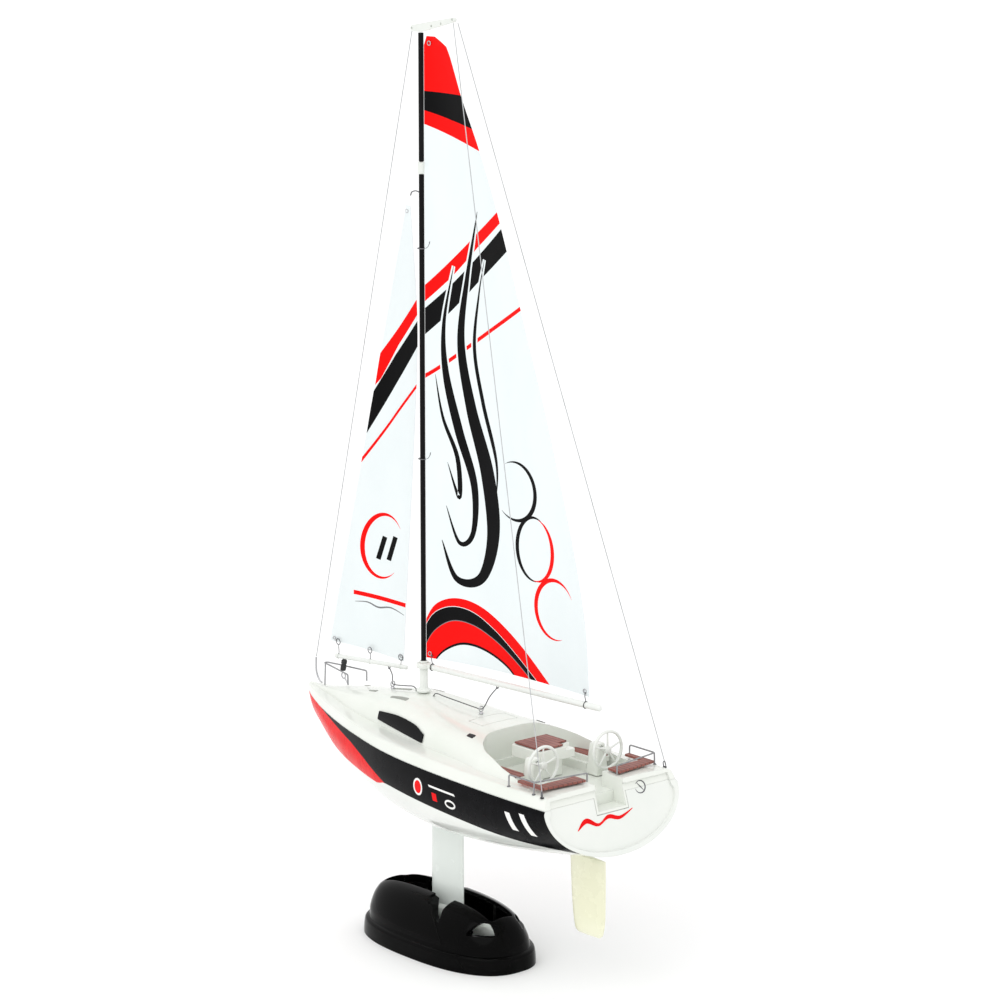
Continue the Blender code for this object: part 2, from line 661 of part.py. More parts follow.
def jib_swing():
    return swing(JIB_SWING, JIB_PIVOT, JIB_HEAD)


def mast():
    foot = roof_top(MAST) + 0.6
    socket = cylinder("mast_socket", SOCKET_RADIUS, (MAST, 0, foot), (MAST, 0, 164.2), "white_abs")
    join(socket, cylinder("socket_flange", 4.2, (MAST, 0, foot), (MAST, 0, foot + 1.6), None))
    cut(socket, cylinder("socket_bore", MAST_RADIUS + GAP, (MAST, 0, foot + 2), (MAST, 0, 170), None))
    low, high = MAST_JOINT
    lower = cylinder("mast_lower", MAST_RADIUS, (MAST, 0, foot + 2 + GAP), (MAST, 0, low - GAP),
                     "black_gloss")
    upper = cylinder("mast_upper", MAST_RADIUS, (MAST, 0, high + GAP), (MAST, 0, MAST_HEAD), "black_gloss")
    joint = cylinder("mast_joint", 2.1, (MAST, 0, low), (MAST, 0, high), "white_abs")
    join(joint, cylinder("joint_spigot", 0.8, (MAST, 0, low - 8), (MAST, 0, high + 8), None, sides=12))
    cut(lower, cylinder("lower_bore", 1.1, (MAST, 0, low - 9), (MAST, 0, low + 4), None, sides=12))
    cut(upper, cylinder("upper_bore", 1.1, (MAST, 0, high - 4), (MAST, 0, high + 9), None, sides=12))
    mast_crane()
    hook = [(MAST + 2.0, 0, 431), (MAST + 5, 0, 431.5), (MAST + 8.5, 0, 430.5), (MAST + 9.5, 0, 428.5)]
    wire("jib_head_hook", smooth_route(hook, 1.5), 0.8, "steel")


def mast_crane():
    """The plate at the masthead: stays hook into the holes at its two ends."""
    length = CRANE_FRONT - CRANE_AFT
    front = CRANE_FRONT - MAST
    outline = [(front, -1.6), (front + 1.4, 0), (front, 1.8), (front - length, 0.9 + CRANE_RISE),
               (front - length - 1.2, CRANE_RISE - 0.3), (front - length, CRANE_RISE - 1.5),
               (-4.0, -0.9), (0, -1.6)]
    holes = [(front - 0.3, 0.1, 0.7), (-10, 2.2, 0.7), (-18, 4.0, 0.7), (front - length + 1, 6.8, 0.7)]
    outward = Matrix(((0, 0, 1, 0), (-1, 0, 0, 0), (0, 1, 0, 0), (0, 0, 0, 1)))
    matrix = Matrix.Translation(at(MAST, 0, MAST_HEAD + 2.0)) @ outward
    return plate("mast_crane", outline[::-1], 1.8, matrix, "white_abs", holes)


def standing_rigging():
    top = MAST_HEAD + 1.0
    wire("forestay", [(CRANE_FRONT + 0.6, 0, top - 0.6), (120.4, 0, 147.2)], WIRE, "cordage")
    tip_height = MAST_HEAD + CRANE_RISE
    for side, name in ((1, "backstay_port"), (-1, "backstay_starboard")):
        wire(name, [(CRANE_AFT - 1, side * 1.6, tip_height), (-131, side * 45, 127.6)], WIRE, "cordage")
    fitting = [(115.3, 0, roof_top(115.3) + 1.2), (118, 0, 133.5), (120.6, 0, 138.5), (120.6, 0, 146.6)]
    wire("bow_fitting", smooth_route(fitting, 2.0), 1.2, "steel")


def sail(name, rows, to_place, matrix, columns=8):
    """A cambered sail, thickened to both sides. A row runs between its (height, aft) ends."""
    bm = bmesh.new()
    grid = []
    for (low, front), (high, back) in rows:
        verts = []
        for i in range(columns + 1):
            t = i / columns
            depth = CAMBER * (back - front) * 4 * t * (1 - t) * (1.25 - 0.5 * t)
            spot = to_place(low + (high - low) * t, front + (back - front) * t, depth)
            verts.append(bm.verts.new(matrix @ spot))
        grid.append(verts)
    for low, high in zip(grid, grid[1:]):
        for i in range(columns):
            bm.faces.new((low[i], low[i + 1], high[i + 1], high[i]))
    return thicken(name, bm, SAIL_THICKNESS, "sail", middle=True)


def mainsail():
    rows = []
    for i in range(19):
        height = MAIN_FOOT + (MAIN_LEECH[-1][0] - MAIN_FOOT) * i / 18
        rows.append(((height, MAIN_LUFF), (height, along(MAIN_LEECH, height))))
    return sail("mainsail", rows, lambda z, aft, depth: at(MAST - aft, -depth, z), boom_swing())


def jib_place(height, aft, depth):
    """A place on the jib: height along its swing axis, distance aft of it and to starboard."""
    foot, head = Vector(JIB_PIVOT), Vector(JIB_HEAD)
    rise = (head - foot).normalized()
    back = Vector((-rise.z, 0, rise.x))
    spot = foot + rise * height + back * aft
    return at(spot.x, -depth, spot.z)


def jib():
    rows = []
    for i in range(14):
        front = JIB_TACK + (JIB_TOP - JIB_TACK) * i / 13
        back = JIB_CLEW + (JIB_TOP - JIB_CLEW) * i / 13
        rows.append(((front, along(JIB_LUFF, front)), (back, along(JIB_LEECH, back))))
    return sail("jib", rows, jib_place, jib_swing(), columns=6)


def booms():
    turn = boom_swing()
    boom = cylinder("main_boom", BOOM_RADIUS, (MAST - 7.5, 0, BOOM_HEIGHT),
                    (MAST - BOOM_LENGTH, 0, BOOM_HEIGHT), "white_abs", sides=14)
    boom.matrix_world = turn
    collar = cylinder("gooseneck", 4.2, (MAST, 0, BOOM_HEIGHT - 1.6), (MAST, 0, BOOM_HEIGHT + 1.6),
                      "white_abs", sides=20)
    join(collar, box("gooseneck_tang", (4.5, 2.6, 2.6), (MAST - 5, 0, BOOM_HEIGHT), None))
    cut(collar, cylinder("gooseneck_bore", SOCKET_RADIUS + 0.4, (MAST, 0, 150), (MAST, 0, 170), None))
    for piece in (collar, *[step.object for step in collar.modifiers]):
        piece.matrix_world = turn
    for name, height in (("luff_ring_lower", 281.0), ("luff_ring_upper", 400.0)):
        ring(name, 2.35, 0.7, (MAST, 0, height), (0, 0, 1), "steel", sides=14)
    turn = jib_swing()
    jib_boom = cylinder("jib_boom", 1.3, (100.4, 0, JIB_BOOM_HEIGHT), (48.5, 0, JIB_BOOM_HEIGHT),
                        "white_abs", sides=12)
    jib_boom.matrix_world = turn
    axis = (Vector(JIB_HEAD) - Vector(JIB_PIVOT)).normalized()
    low = Vector(JIB_PIVOT) - axis * 4.0
    high = Vector(JIB_PIVOT) + axis * 2.8
    cylinder("jib_swivel", 1.7, low, high, "black_gloss", sides=12)


def deck_eyes():
    eye("deck_eye_main", -28.7, roof_top(-28.7), 1.5)
    eye("deck_eye_jib", 49.4, roof_top(49.4), 1.5)
    shackle = ring("deck_eye_tack", 1.7, 0.8, (94.9, 0, 140.6), (0, 1, 0), "steel", sides=14)
    join(shackle, cylinder("tack_leg", 0.45, (90.5, 0, roof_top(90.5) + 0.6), (94.0, 0, 139.2), None, sides=8))


def eye(name, forward, deck_height, radius):
    """A wire eye that stands in the deck on a short foot."""
    loop = ring(name, radius, 0.8, (forward, 0, deck_height + radius + 1.5), (1, 0, 0), "steel", sides=14)
    foot = cylinder(f"{name}_foot", 1.3, (forward, 0, deck_height + 0.2), (forward, 0, deck_height + 1.3),
                    None, sides=10)
    return join(loop, foot)


def sheets():
    hook = boom_swing() @ at(MAST - 58, 0, BOOM_HEIGHT - BOOM_RADIUS - 0.5)
    hook = (-hook.y / MM, hook.x / MM, hook.z / MM)
    eye_top = roof_top(-28.7) + 3.0
    route = [hook, (-32.2, -3.2, 153.2), (-30.1, -1.4, eye_top + 1.7), (-28.7, 0.0, eye_top - 0.1),
             (-24, 1.0, eye_top + 0.2), (-12, 1.8, 147.0), (2, 1.4, 147.3), (9, 0.4, 147.2),
             (12.5, 0, 145.6), (12.5, 0, 141)]
    wire("main_sheet", smooth_route(route, 2.2), SHEET, "cordage")
    hook = jib_swing() @ at(61.5, 0, JIB_BOOM_HEIGHT - 1.3 - 0.6)
    hook = (-hook.y / MM, hook.x / MM, hook.z / MM)
    eye_top = roof_top(49.4) + 3.0
    route = [hook, (56, -5, 148), (51.5, -1.5, eye_top + 1.2), (49.4, 0, eye_top - 0.1),
             (44, 0.8, 145.2), (36, 0.6, 146.4), (30.5, 0.1, 147.0), (28, 0, 145.2), (28, 0, 141)]
    wire("jib_sheet", smooth_route(route, 2.2), SHEET, "cordage")


# ---------------------------------------------------------------- deck fittings

def helm(side, label):
    forward, port, height = WHEEL[0], side * WHEEL[1], WHEEL[2]
    base = [(forward + 3.5, 4.5), (forward + 13.5, 4.5), (forward + 13.5, -4.5), (forward + 3.5, -4.5)]
    rings = []
    for up, share in ((SOLE + GAP, 1.0), (128, 0.85), (137.5, 0.7)):
        rings.append([at(forward + 8 + (f - forward - 8) * share, port + p * share, up) for f, p in base])
    pedestal = loft(f"helm_pedestal_{label}", rings, "white_abs")
    cut(pedestal, cylinder(f"pedestal_bore_{label}", 1.2, (forward - 2, port, height),
                           (forward + 9, port, height), None, sides=12))
    wheel = ring(f"helm_wheel_{label}", WHEEL_RADIUS - 0.7, 1.5, (forward, port, height), (1, 0, 0),
                 "white_abs", sides=24, around=6)
    parts = [cylinder(f"hub_{label}", 2.2, (forward - 1.2, port, height), (forward + 1.2, port, height), None),
             cylinder(f"shaft_{label}", 0.8, (forward, port, height), (forward + 8, port, height), None,
                      sides=10)]
    for index in range(5):
        angle = radians(90 + 72 * index)
        reach = WHEEL_RADIUS - 0.8
        end = (forward, port + reach * cos(angle), height + reach * sin(angle))
        parts.append(cylinder(f"spoke_{label}_{index}", 0.5, (forward, port, height), end, None, sides=6))
    return join(wheel, *parts)


def cockpit_table():
    forward, port, length, width, top = TABLE
    table = box("cockpit_table", (length, width, top - SOLE - GAP), (forward, port, (top + SOLE + GAP) / 2),
                "white_abs", bevel=0.8)
    corner = box("table_corner", (10, 14, 4), (forward - length / 2, port - width / 2, top), None)
    cut(table, corner)
    panel = box("table_top", (length - 2.4, width - 2.4, 1.0), (forward, port, top + GAP + 0.5), "teak")
    return cut(panel, box("panel_corner", (12, 16, 4), (forward - length / 2, port - width / 2, top), None))


def stern_seat(side, label):
    outline = [(-106, 37.5), (-106, 41), (-126.5, 41), (-129.5, 12), (-120, 12), (-120, 37.5)]
    deck_height = along(SHEER, -120) + along(ROOF_RISE, -115) + 0.5
    seat = plan_prism(f"stern_seat_{label}", [(f, side * p) for f, p in outline], deck_height,
                      deck_height + 1.3, "teak")
    return seat


def rails():
    deck_height = 127.0
    for side, label in ((1, "port"), (-1, "starboard")):
        route = [(-103, 44.2, deck_height - 0.3), (-103, 44.2, 132.2), (-104, 44.2, 133), (-123, 44, 133),
                 (-125, 42.6, 133), (-128.6, 12, 133), (-128.8, 10.9, 132.2), (-128.8, 10.9, deck_height + 1.2)]
        wire(f"stern_rail_{label}", [(f, side * p, z) for f, p, z in route], RAIL_WIRE, "steel")
    arm = [(82, 7, 138.8), (82, 7, 144.0), (83, 6.8, 144.8), (104, 2.6, 145.2), (110.5, 1.3, 145.2)]
    route = arm + [(112, 0, 145.2)] + [(f, -p, z) for f, p, z in arm[::-1]]
    wire("bow_pulpit", route, RAIL_WIRE, "steel")


# ---------------------------------------------------------------- stand

def dome(name, finish, inset=0.0):
    """The stand's outside, or the hollow within it: rounded ovals that close in towards the top."""
    rings = []
    for up, length, width, shift in STAND_LEVELS:
        outline = rounded_oval(STAND_HALF_LENGTH * length - inset, STAND_HALF_WIDTH * width - inset,
                               STAND_POWER, 40, shift)
        rings.append([at(f, p, up - inset) for f, p in outline])
    return loft(name, rings, finish)


def display_stand():
    """An oval dome, hollow over three cradle ribs, slotted for the bulb and pierced at its sides."""
    stand = dome("display_stand", "black_gloss")
    hollow = dome("stand_hollow", None, STAND_WALL)
    for forward in (-30, 0, 30):
        boolean(hollow, box(f"rib_space_{forward}", (2.4, 80, 80), (forward, 0, 20), None), "DIFFERENCE")
    reach = BULB_LENGTH / 2 + 2.0
    slot = box("stand_slot", (2 * reach, 2 * BULB_RADIUS + 1.0, 60), (1, 0, BULB_HEIGHT + 30), None)
    trough = cylinder("stand_trough", BULB_RADIUS + 0.45, (-reach, 0, BULB_HEIGHT), (reach, 0, BULB_HEIGHT),
                      None, sides=20)
    cut(stand, hollow, slot, trough)
    window = [(-31, 19), (-33, 23.5), (-38, 27), (-43.5, 26.8), (-52, 21)]
    notch = [(2, 60), (1.4, 32.5), (-8, 29), (-17.7, 25.8), (-16.5, 31), (-16, 60)]
    for side in (1, -1):
        rings = [[at(side * f, side * p, z) for f, z in notch] for p in (0, 60)]
        cut(stand, loft(f"stand_notch_{side}", rings, None))
    return cut(stand, side_prism("stand_window", window, 60))


# ---------------------------------------------------------------- the whole boat

def build():
    clear_scene()
    hull_shell()
    deck_moulding()
    service_hatch()
    keel()
    rudder()
    radio_gear()
    mast()
    standing_rigging()
    mainsail()
    jib()
    booms()
    deck_eyes()
    sheets()
    for side, label in ((1, "port"), (-1, "starboard")):
        cabin_window(side)
        helm(side, label)
        stern_seat(side, label)
    cockpit_table()
    rails()
    display_stand()


build()
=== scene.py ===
"""The looks of a radio-controlled sailing yacht on its display stand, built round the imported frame.

The bow points to -Y, port is +X and up is +Z. Places are written as (forward, port, up) in
millimetres, and sail places as (aft of the luff's axis, up) in the sail's own plane.
"""
from math import cos, pi, radians, sin, tau

import bmesh
import bpy
import numpy as np
from mathutils import Matrix, Vector
from mathutils.geometry import delaunay_2d_cdt


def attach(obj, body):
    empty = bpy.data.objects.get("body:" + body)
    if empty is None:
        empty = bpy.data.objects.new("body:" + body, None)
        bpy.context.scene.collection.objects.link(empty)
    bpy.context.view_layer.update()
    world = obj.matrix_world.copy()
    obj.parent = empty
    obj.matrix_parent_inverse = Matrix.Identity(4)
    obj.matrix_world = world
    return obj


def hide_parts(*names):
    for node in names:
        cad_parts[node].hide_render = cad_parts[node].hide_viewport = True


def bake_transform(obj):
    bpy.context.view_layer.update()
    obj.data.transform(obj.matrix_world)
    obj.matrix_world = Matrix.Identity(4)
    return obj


MM = 0.001

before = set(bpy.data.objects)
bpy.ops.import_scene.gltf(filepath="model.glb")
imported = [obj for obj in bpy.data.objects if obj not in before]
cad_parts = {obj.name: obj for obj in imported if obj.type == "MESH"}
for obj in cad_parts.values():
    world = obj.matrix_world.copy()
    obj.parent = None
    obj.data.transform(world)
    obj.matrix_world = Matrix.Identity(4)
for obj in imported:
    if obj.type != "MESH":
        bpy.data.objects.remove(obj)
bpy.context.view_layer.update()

# Hull
BOW, STERN, WALL = 126.0, -137.0, 1.4
BEAM = ((126, 1.6), (118, 6), (100, 13.5), (75, 22.5), (45, 31.5), (10, 40), (-30, 45.5),
        (-75, 48.5), (-110, 49.3), (-137, 48.8))
JOINT = ((126, 126), (95, 123), (40, 121), (-20, 120.3), (-137, 120.3))
KEEL = ((126, 124), (121, 113), (110, 104.5), (95, 95), (80, 88), (50, 80.8), (20, 77), (-20, 76),
        (-60, 78), (-100, 82.5), (-137, 89.5))
TUMBLEHOME = ((126, 0), (40, 0.6), (-60, 3), (-137, 4))
FULLNESS = ((120, 1.35), (90, 1.5), (50, 1.75), (10, 2.1), (-40, 2.35), (-90, 2.3), (-137, 2.0))
WIDEST = ((126, 0.9), (60, 0.76), (-80, 0.78), (-137, 0.92))
STERN_RAKE, STERN_LEVEL, RECESS = 0.33, 118.0, 1.3
JOINT_GAP = 0.3

# Deck
SHEER = ((126, 130.5), (95, 129), (40, 127), (-20, 126.5), (-137, 126.5))
ROOF_RISE = ((126, 0.4), (116, 1), (90, 6.5), (60, 12.5), (21, 18.5), (-30, 16.5), (-50, 15.5),
             (-70, 13), (-90, 8.5), (-104, 2), (-137, 0.8))
ROOF_HALF = ((126, 0.5), (100, 6.5), (70, 15.5), (35, 22.5), (-10, 30), (-50, 34.5), (-80, 39.5),
             (-137, 39.5))
COCKPIT_FRONT, COCKPIT_AFT, SOLE, BENCH, BENCH_AFT = -55.0, -118.0, 119.5, 124.5, -96.0
FOOT_WELL, WALKWAY, STEP, STEP_FRONT = 21.0, 10.0, 113.0, -127.0
HATCH = (-39.0, 12.0, 26.0)

# Keel, rudder and stand
FIN = (14.0, -13.0, 5.0)
BULB_LENGTH, BULB_RADIUS, BULB_HEIGHT = 92.0, 8.2, 17.0
RUDDER_AXIS = -112.0
STAND_HALF_LENGTH, STAND_HALF_WIDTH, STAND_POWER, STAND_WALL = 61.5, 31.5, 2.5, 2.0
STAND_LEVELS = ((0, 1, 1, 0), (2, 1, 1, 0), (8, 0.99, 0.98, 0), (9.4, 0.975, 0.955, 0),
                (9.9, 0.95, 0.91, 0), (15, 0.94, 0.87, 0.5), (20, 0.915, 0.80, 1), (24, 0.88, 0.72, 1.5),
                (28, 0.81, 0.61, 2), (31, 0.68, 0.48, 2), (32.6, 0.5, 0.34, 1), (33, 0.3, 0.2, 0))

# Rig
MAST, MAST_RADIUS, MAST_JOINT, MAST_HEAD = 21.5, 1.5, (441.5, 448.0), 519.0
CRANE_FRONT, CRANE_AFT, CRANE_RISE, SOCKET_RADIUS = 28.5, -7.0, 7.0, 2.4
BOOM_HEIGHT, BOOM_LENGTH, BOOM_RADIUS, BOOM_SWING = 161.4, 135.5, 1.8, 5.5
JIB_PIVOT, JIB_HEAD, JIB_BOOM_HEIGHT, JIB_SWING = (94.5, 0.0, 147.5), (31.9, 0.0, 427.5), 152.0, 15.0
MAIN_LEECH = ((166, 127), (210, 123), (300, 99.5), (374, 75), (425, 57.5), (458, 44), (485, 31),
              (502, 24.2), (509, 21.2), (513.4, 18.6), (516.2, 15.2), (517.4, 10.6))
MAIN_FOOT, MAIN_LUFF = 166.4, 2.4
JIB_TACK, JIB_CLEW, JIB_TOP = 11.0, 17.0, 282.0
JIB_LUFF = ((11, -11.8), (282, -1.5))
JIB_LEECH = ((17, 41), (48, 37.4), (173, 23.4), (220, 16.5), (282, 1.5))
CAMBER = 0.045
RING_HEIGHTS = (281.0, 400.0)
WHEEL, WHEEL_RADIUS = (-107.5, 23.5, 135.0), 11.2
TABLE = (-81.0, 0.0, 24.0, 26.0, 137.0)
MAIN_EYE, JIB_EYE, EYE_RISE = -28.7, 49.4, 3.0
MAIN_SHEET, JIB_SHEET, SHEET_HOLES = 58.0, 61.5, (28.0, 12.5)
CORNERS = ((1, 1), (1, -1), (-1, -1), (-1, 1))
SIDES = ((1, "port"), (-1, "starboard"))


# ---------------------------------------------------------------- geometry helpers

def at(forward, port, up):
    return Vector((port, -forward, up)) * MM


def along(points, place):
    """Read a smooth value at a place from a short list of (place, value) design points."""
    points = sorted(points)
    if place <= points[0][0]:
        return points[0][1]
    if place >= points[-1][0]:
        return points[-1][1]
    index = min(max(i for i, point in enumerate(points) if point[0] <= place), len(points) - 2)
    (x0, y0), (x1, y1) = points[index], points[index + 1]
    slope = (y1 - y0) / (x1 - x0)
    before = points[index - 1] if index else (2 * x0 - x1, 2 * y0 - y1)
    after = points[index + 2] if index + 2 < len(points) else (2 * x1 - x0, 2 * y1 - y0)
    start = limited((y1 - before[1]) / (x1 - before[0]), slope, (y0 - before[1]) / (x0 - before[0]))
    end = limited((after[1] - y0) / (after[0] - x0), slope, (after[1] - y1) / (after[0] - x1))
    t = (place - x0) / (x1 - x0)
    width = x1 - x0
    return ((2 * t**3 - 3 * t**2 + 1) * y0 + (t**3 - 2 * t**2 + t) * width * start
            + (3 * t**2 - 2 * t**3) * y1 + (t**3 - t**2) * width * end)


def limited(slope, side_a, side_b):
    if side_a * side_b <= 0:
        return 0.0
    bound = 2 * min(abs(side_a), abs(side_b))
    return max(-bound, min(bound, slope))


def smooth_route(points, step):
    """Points about one step apart on a smooth curve through the route's own points."""
    points = [Vector(point) for point in points]
    route = []
    for i in range(len(points) - 1):
        a, b = points[i], points[i + 1]
        before = points[i - 1] if i else a
        after = points[i + 2] if i + 2 < len(points) else b
        pieces = max(1, round((b - a).length / step))
        for k in range(pieces):
            t = k / pieces
            route.append(0.5 * (2 * a + (b - before) * t + (2 * before - 5 * a + 4 * b - after) * t**2
                                + (3 * a - before - 3 * b + after) * t**3))
    route.append(points[-1])
    return route


def bent_route(points, radius, steps=5):
    """A route of straight lengths with rounded corners."""
    points = [Vector(point) for point in points]
    route = [points[0]]
    for before, corner, after in zip(points, points[1:], points[2:]):
        reach = min(radius, (corner - before).length * 0.48, (after - corner).length * 0.48)
        start = corner + (before - corner).normalized() * reach
        end = corner + (after - corner).normalized() * reach
        for i in range(steps + 1):
            t = i / steps
            route.append(start * (1 - t) ** 2 + corner * 2 * t * (1 - t) + end * t**2)
    route.append(points[-1])
    return route


def rounded_outline(points, radius, steps=5):
    """A closed outline with rounded corners."""
    points = [Vector(point) for point in points]
    outline = []
    for i, corner in enumerate(points):
        before, after = points[i - 1], points[(i + 1) % len(points)]
        reach = min(radius, (corner - before).length * 0.45, (after - corner).length * 0.45)
        start = corner + (before - corner).normalized() * reach
        end = corner + (after - corner).normalized() * reach
        for k in range(steps + 1):
            t = k / steps
            outline.append(start * (1 - t) ** 2 + corner * 2 * t * (1 - t) + end * t**2)
    return outline


def rounded_plan(points, radius, steps=5):
    """A rounded outline as plain pairs."""
    return [tuple(p) for p in rounded_outline(points, radius, steps)]


def mirrored(half):
    """A port half outline, closed by its mirror image to starboard."""
    return half + [(f, -p) for f, p in half[::-1]]


def raw(name, verts, faces):
    """A mesh object with its normals pointing outwards."""
    mesh = bpy.data.meshes.new(name)
    mesh.from_pydata([tuple(v) for v in verts], [], faces)
    bm = bmesh.new()
    bm.from_mesh(mesh)
    bmesh.ops.recalc_face_normals(bm, faces=bm.faces)
    bm.to_mesh(mesh)
    bm.free()
    made = bpy.data.objects.new(name, mesh)
    bpy.context.scene.collection.objects.link(made)
    return made


def loft(name, rings, joined=False):
    """Join closed rings of points into a body with flat ends, or into a closed loop of rings."""
    count = len(rings[0])
    verts = [point for ring in rings for point in ring]
    faces = []
    pairs = list(zip(range(len(rings)), range(1, len(rings)))) + ([(len(rings) - 1, 0)] if joined else [])
    for low, high in pairs:
        for i in range(count):
            j = (i + 1) % count
            faces.append((low * count + i, low * count + j, high * count + j, high * count + i))
    if not joined:
        faces.append(tuple(range(count))[::-1])
        faces.append(tuple(range((len(rings) - 1) * count, len(rings) * count)))
    return raw(name, verts, faces)


def tube(name, route, diameter, sides=10, closed=False, tips=1.0):
    """A round wire along places in millimetres. tips is the share of the diameter at its ends."""
    spots = [at(*point) for point in route]
    count = len(spots)
    rings, side = [], None
    for i, spot in enumerate(spots):
        before = spots[i - 1] if i or closed else spot
        after = spots[(i + 1) % count] if i + 1 < count or closed else spot
        ahead = (after - before).normalized()
        if side is None:
            side = ahead.orthogonal().normalized()
        side = (side - ahead * side.dot(ahead)).normalized()
        up = ahead.cross(side)
        radius = diameter * MM / 2 * (tips if not closed and i in (0, count - 1) else 1.0)
        rings.append([spot + (side * cos(tau * k / sides) + up * sin(tau * k / sides)) * radius
                      for k in range(sides)])
    return loft(name, rings, closed)


def hoop(name, radius, thickness, centre, axis, sides=36, around=10):
    """A wire ring round an axis, given as a (forward, port, up) direction."""
    ahead = Vector(axis).normalized()
    side = ahead.orthogonal().normalized()
    up = ahead.cross(side)
    route = [Vector(centre) + (side * cos(tau * i / sides) + up * sin(tau * i / sides)) * radius
             for i in range(sides)]
    return tube(name, route, thickness, around, closed=True)


def turned(name, profile, start, axis, steps=40):
    """A body turned from a profile of (radius, distance along the axis), with flat ends."""
    ahead = Vector(axis).normalized()
    side = ahead.orthogonal().normalized()
    up = ahead.cross(side)
    rings = []
    for radius, distance in profile:
        centre = Vector(start) + ahead * distance
        rings.append([at(*(centre + (side * cos(tau * i / steps) + up * sin(tau * i / steps)) * radius))
                      for i in range(steps)])
    return loft(name, rings)


def rod(name, radius, start, end, soft=0.3, steps=28, tip=None):
    """A rod between two places with softly rounded ends."""
    start, end = Vector(start), Vector(end)
    length = (end - start).length
    far = radius if tip is None else tip
    soft = min(soft, radius * 0.9, length * 0.3)
    profile = [(radius - soft, 0), (radius - soft * 0.3, soft * 0.3), (radius, soft),
               (far, length - soft), (far - soft * 0.3, length - soft * 0.3), (far - soft, length)]
    return turned(name, profile, start, end - start, steps)


def box(name, size, centre):
    """A box of (length forward, width, height) millimetres."""
    length, width, height = (s / 2 for s in size)
    f, p, z = centre
    rings = [[at(f + a * length, p + b * width, z + c * height) for a, b in CORNERS]
             for c in (-1, 1)]
    return loft(name, rings)


def side_prism(name, outline, half_width):
    return loft(name, [[at(f, side * half_width, z) for f, z in outline] for side in (-1, 1)])


def plan_prism(name, outline, bottom, top):
    return loft(name, [[at(f, p, z) for f, p in outline] for z in (bottom, top)])


def carve(made, operation, *tools):
    """Cut or join a body with others, which are then gone."""
    for tool in tools:
        step = made.modifiers.new("step", "BOOLEAN")
        step.object = tool
        step.operation = operation
        step.solver = "EXACT"
    bake(made)
    for tool in tools:
        bpy.data.objects.remove(tool, do_unlink=True)
    return made


def bake(made):
    graph = bpy.context.evaluated_depsgraph_get()
    mesh = bpy.data.meshes.new_from_object(made.evaluated_get(graph))
    made.modifiers.clear()
    made.data = mesh
    return made


def merged(name, pieces):
    """Several separate shells as one object."""
    bm = bmesh.new()
    for piece in pieces:
        bm.from_mesh(piece.data)
        bpy.data.objects.remove(piece, do_unlink=True)
    mesh = bpy.data.meshes.new(name)
    bm.to_mesh(mesh)
    bm.free()
    made = bpy.data.objects.new(name, mesh)
    bpy.context.scene.collection.objects.link(made)
    return made


def shown(made, finish, body, replaced=(), edge=0.0, angle=35, turn=None):
    """Finish a piece: its materials, soft edges, the body it moves with and what it replaces."""
    if turn is not None:
        made.data.transform(turn)
    made.data.materials.clear()
    for one in (finish if isinstance(finish, list) else [finish]):
        made.data.materials.append(one)
    made.data.shade_smooth()
    made.data.set_sharp_from_angle(angle=radians(angle))
    if edge:
        rounding = made.modifiers.new("soft_edges", "BEVEL")
        rounding.width = edge * MM
        rounding.segments = 2
        rounding.limit_method = "ANGLE"
        rounding.angle_limit = radians(angle)
        rounding.harden_normals = True
    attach(made, body)
    if replaced:
        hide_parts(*replaced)
    return made


def dark_steel(made, body, replaced=(), turn=None):
    """Finish a small fitting in dark steel."""
    return shown(made, STEEL_DARK, body, replaced, turn=turn)


# ---------------------------------------------------------------- materials

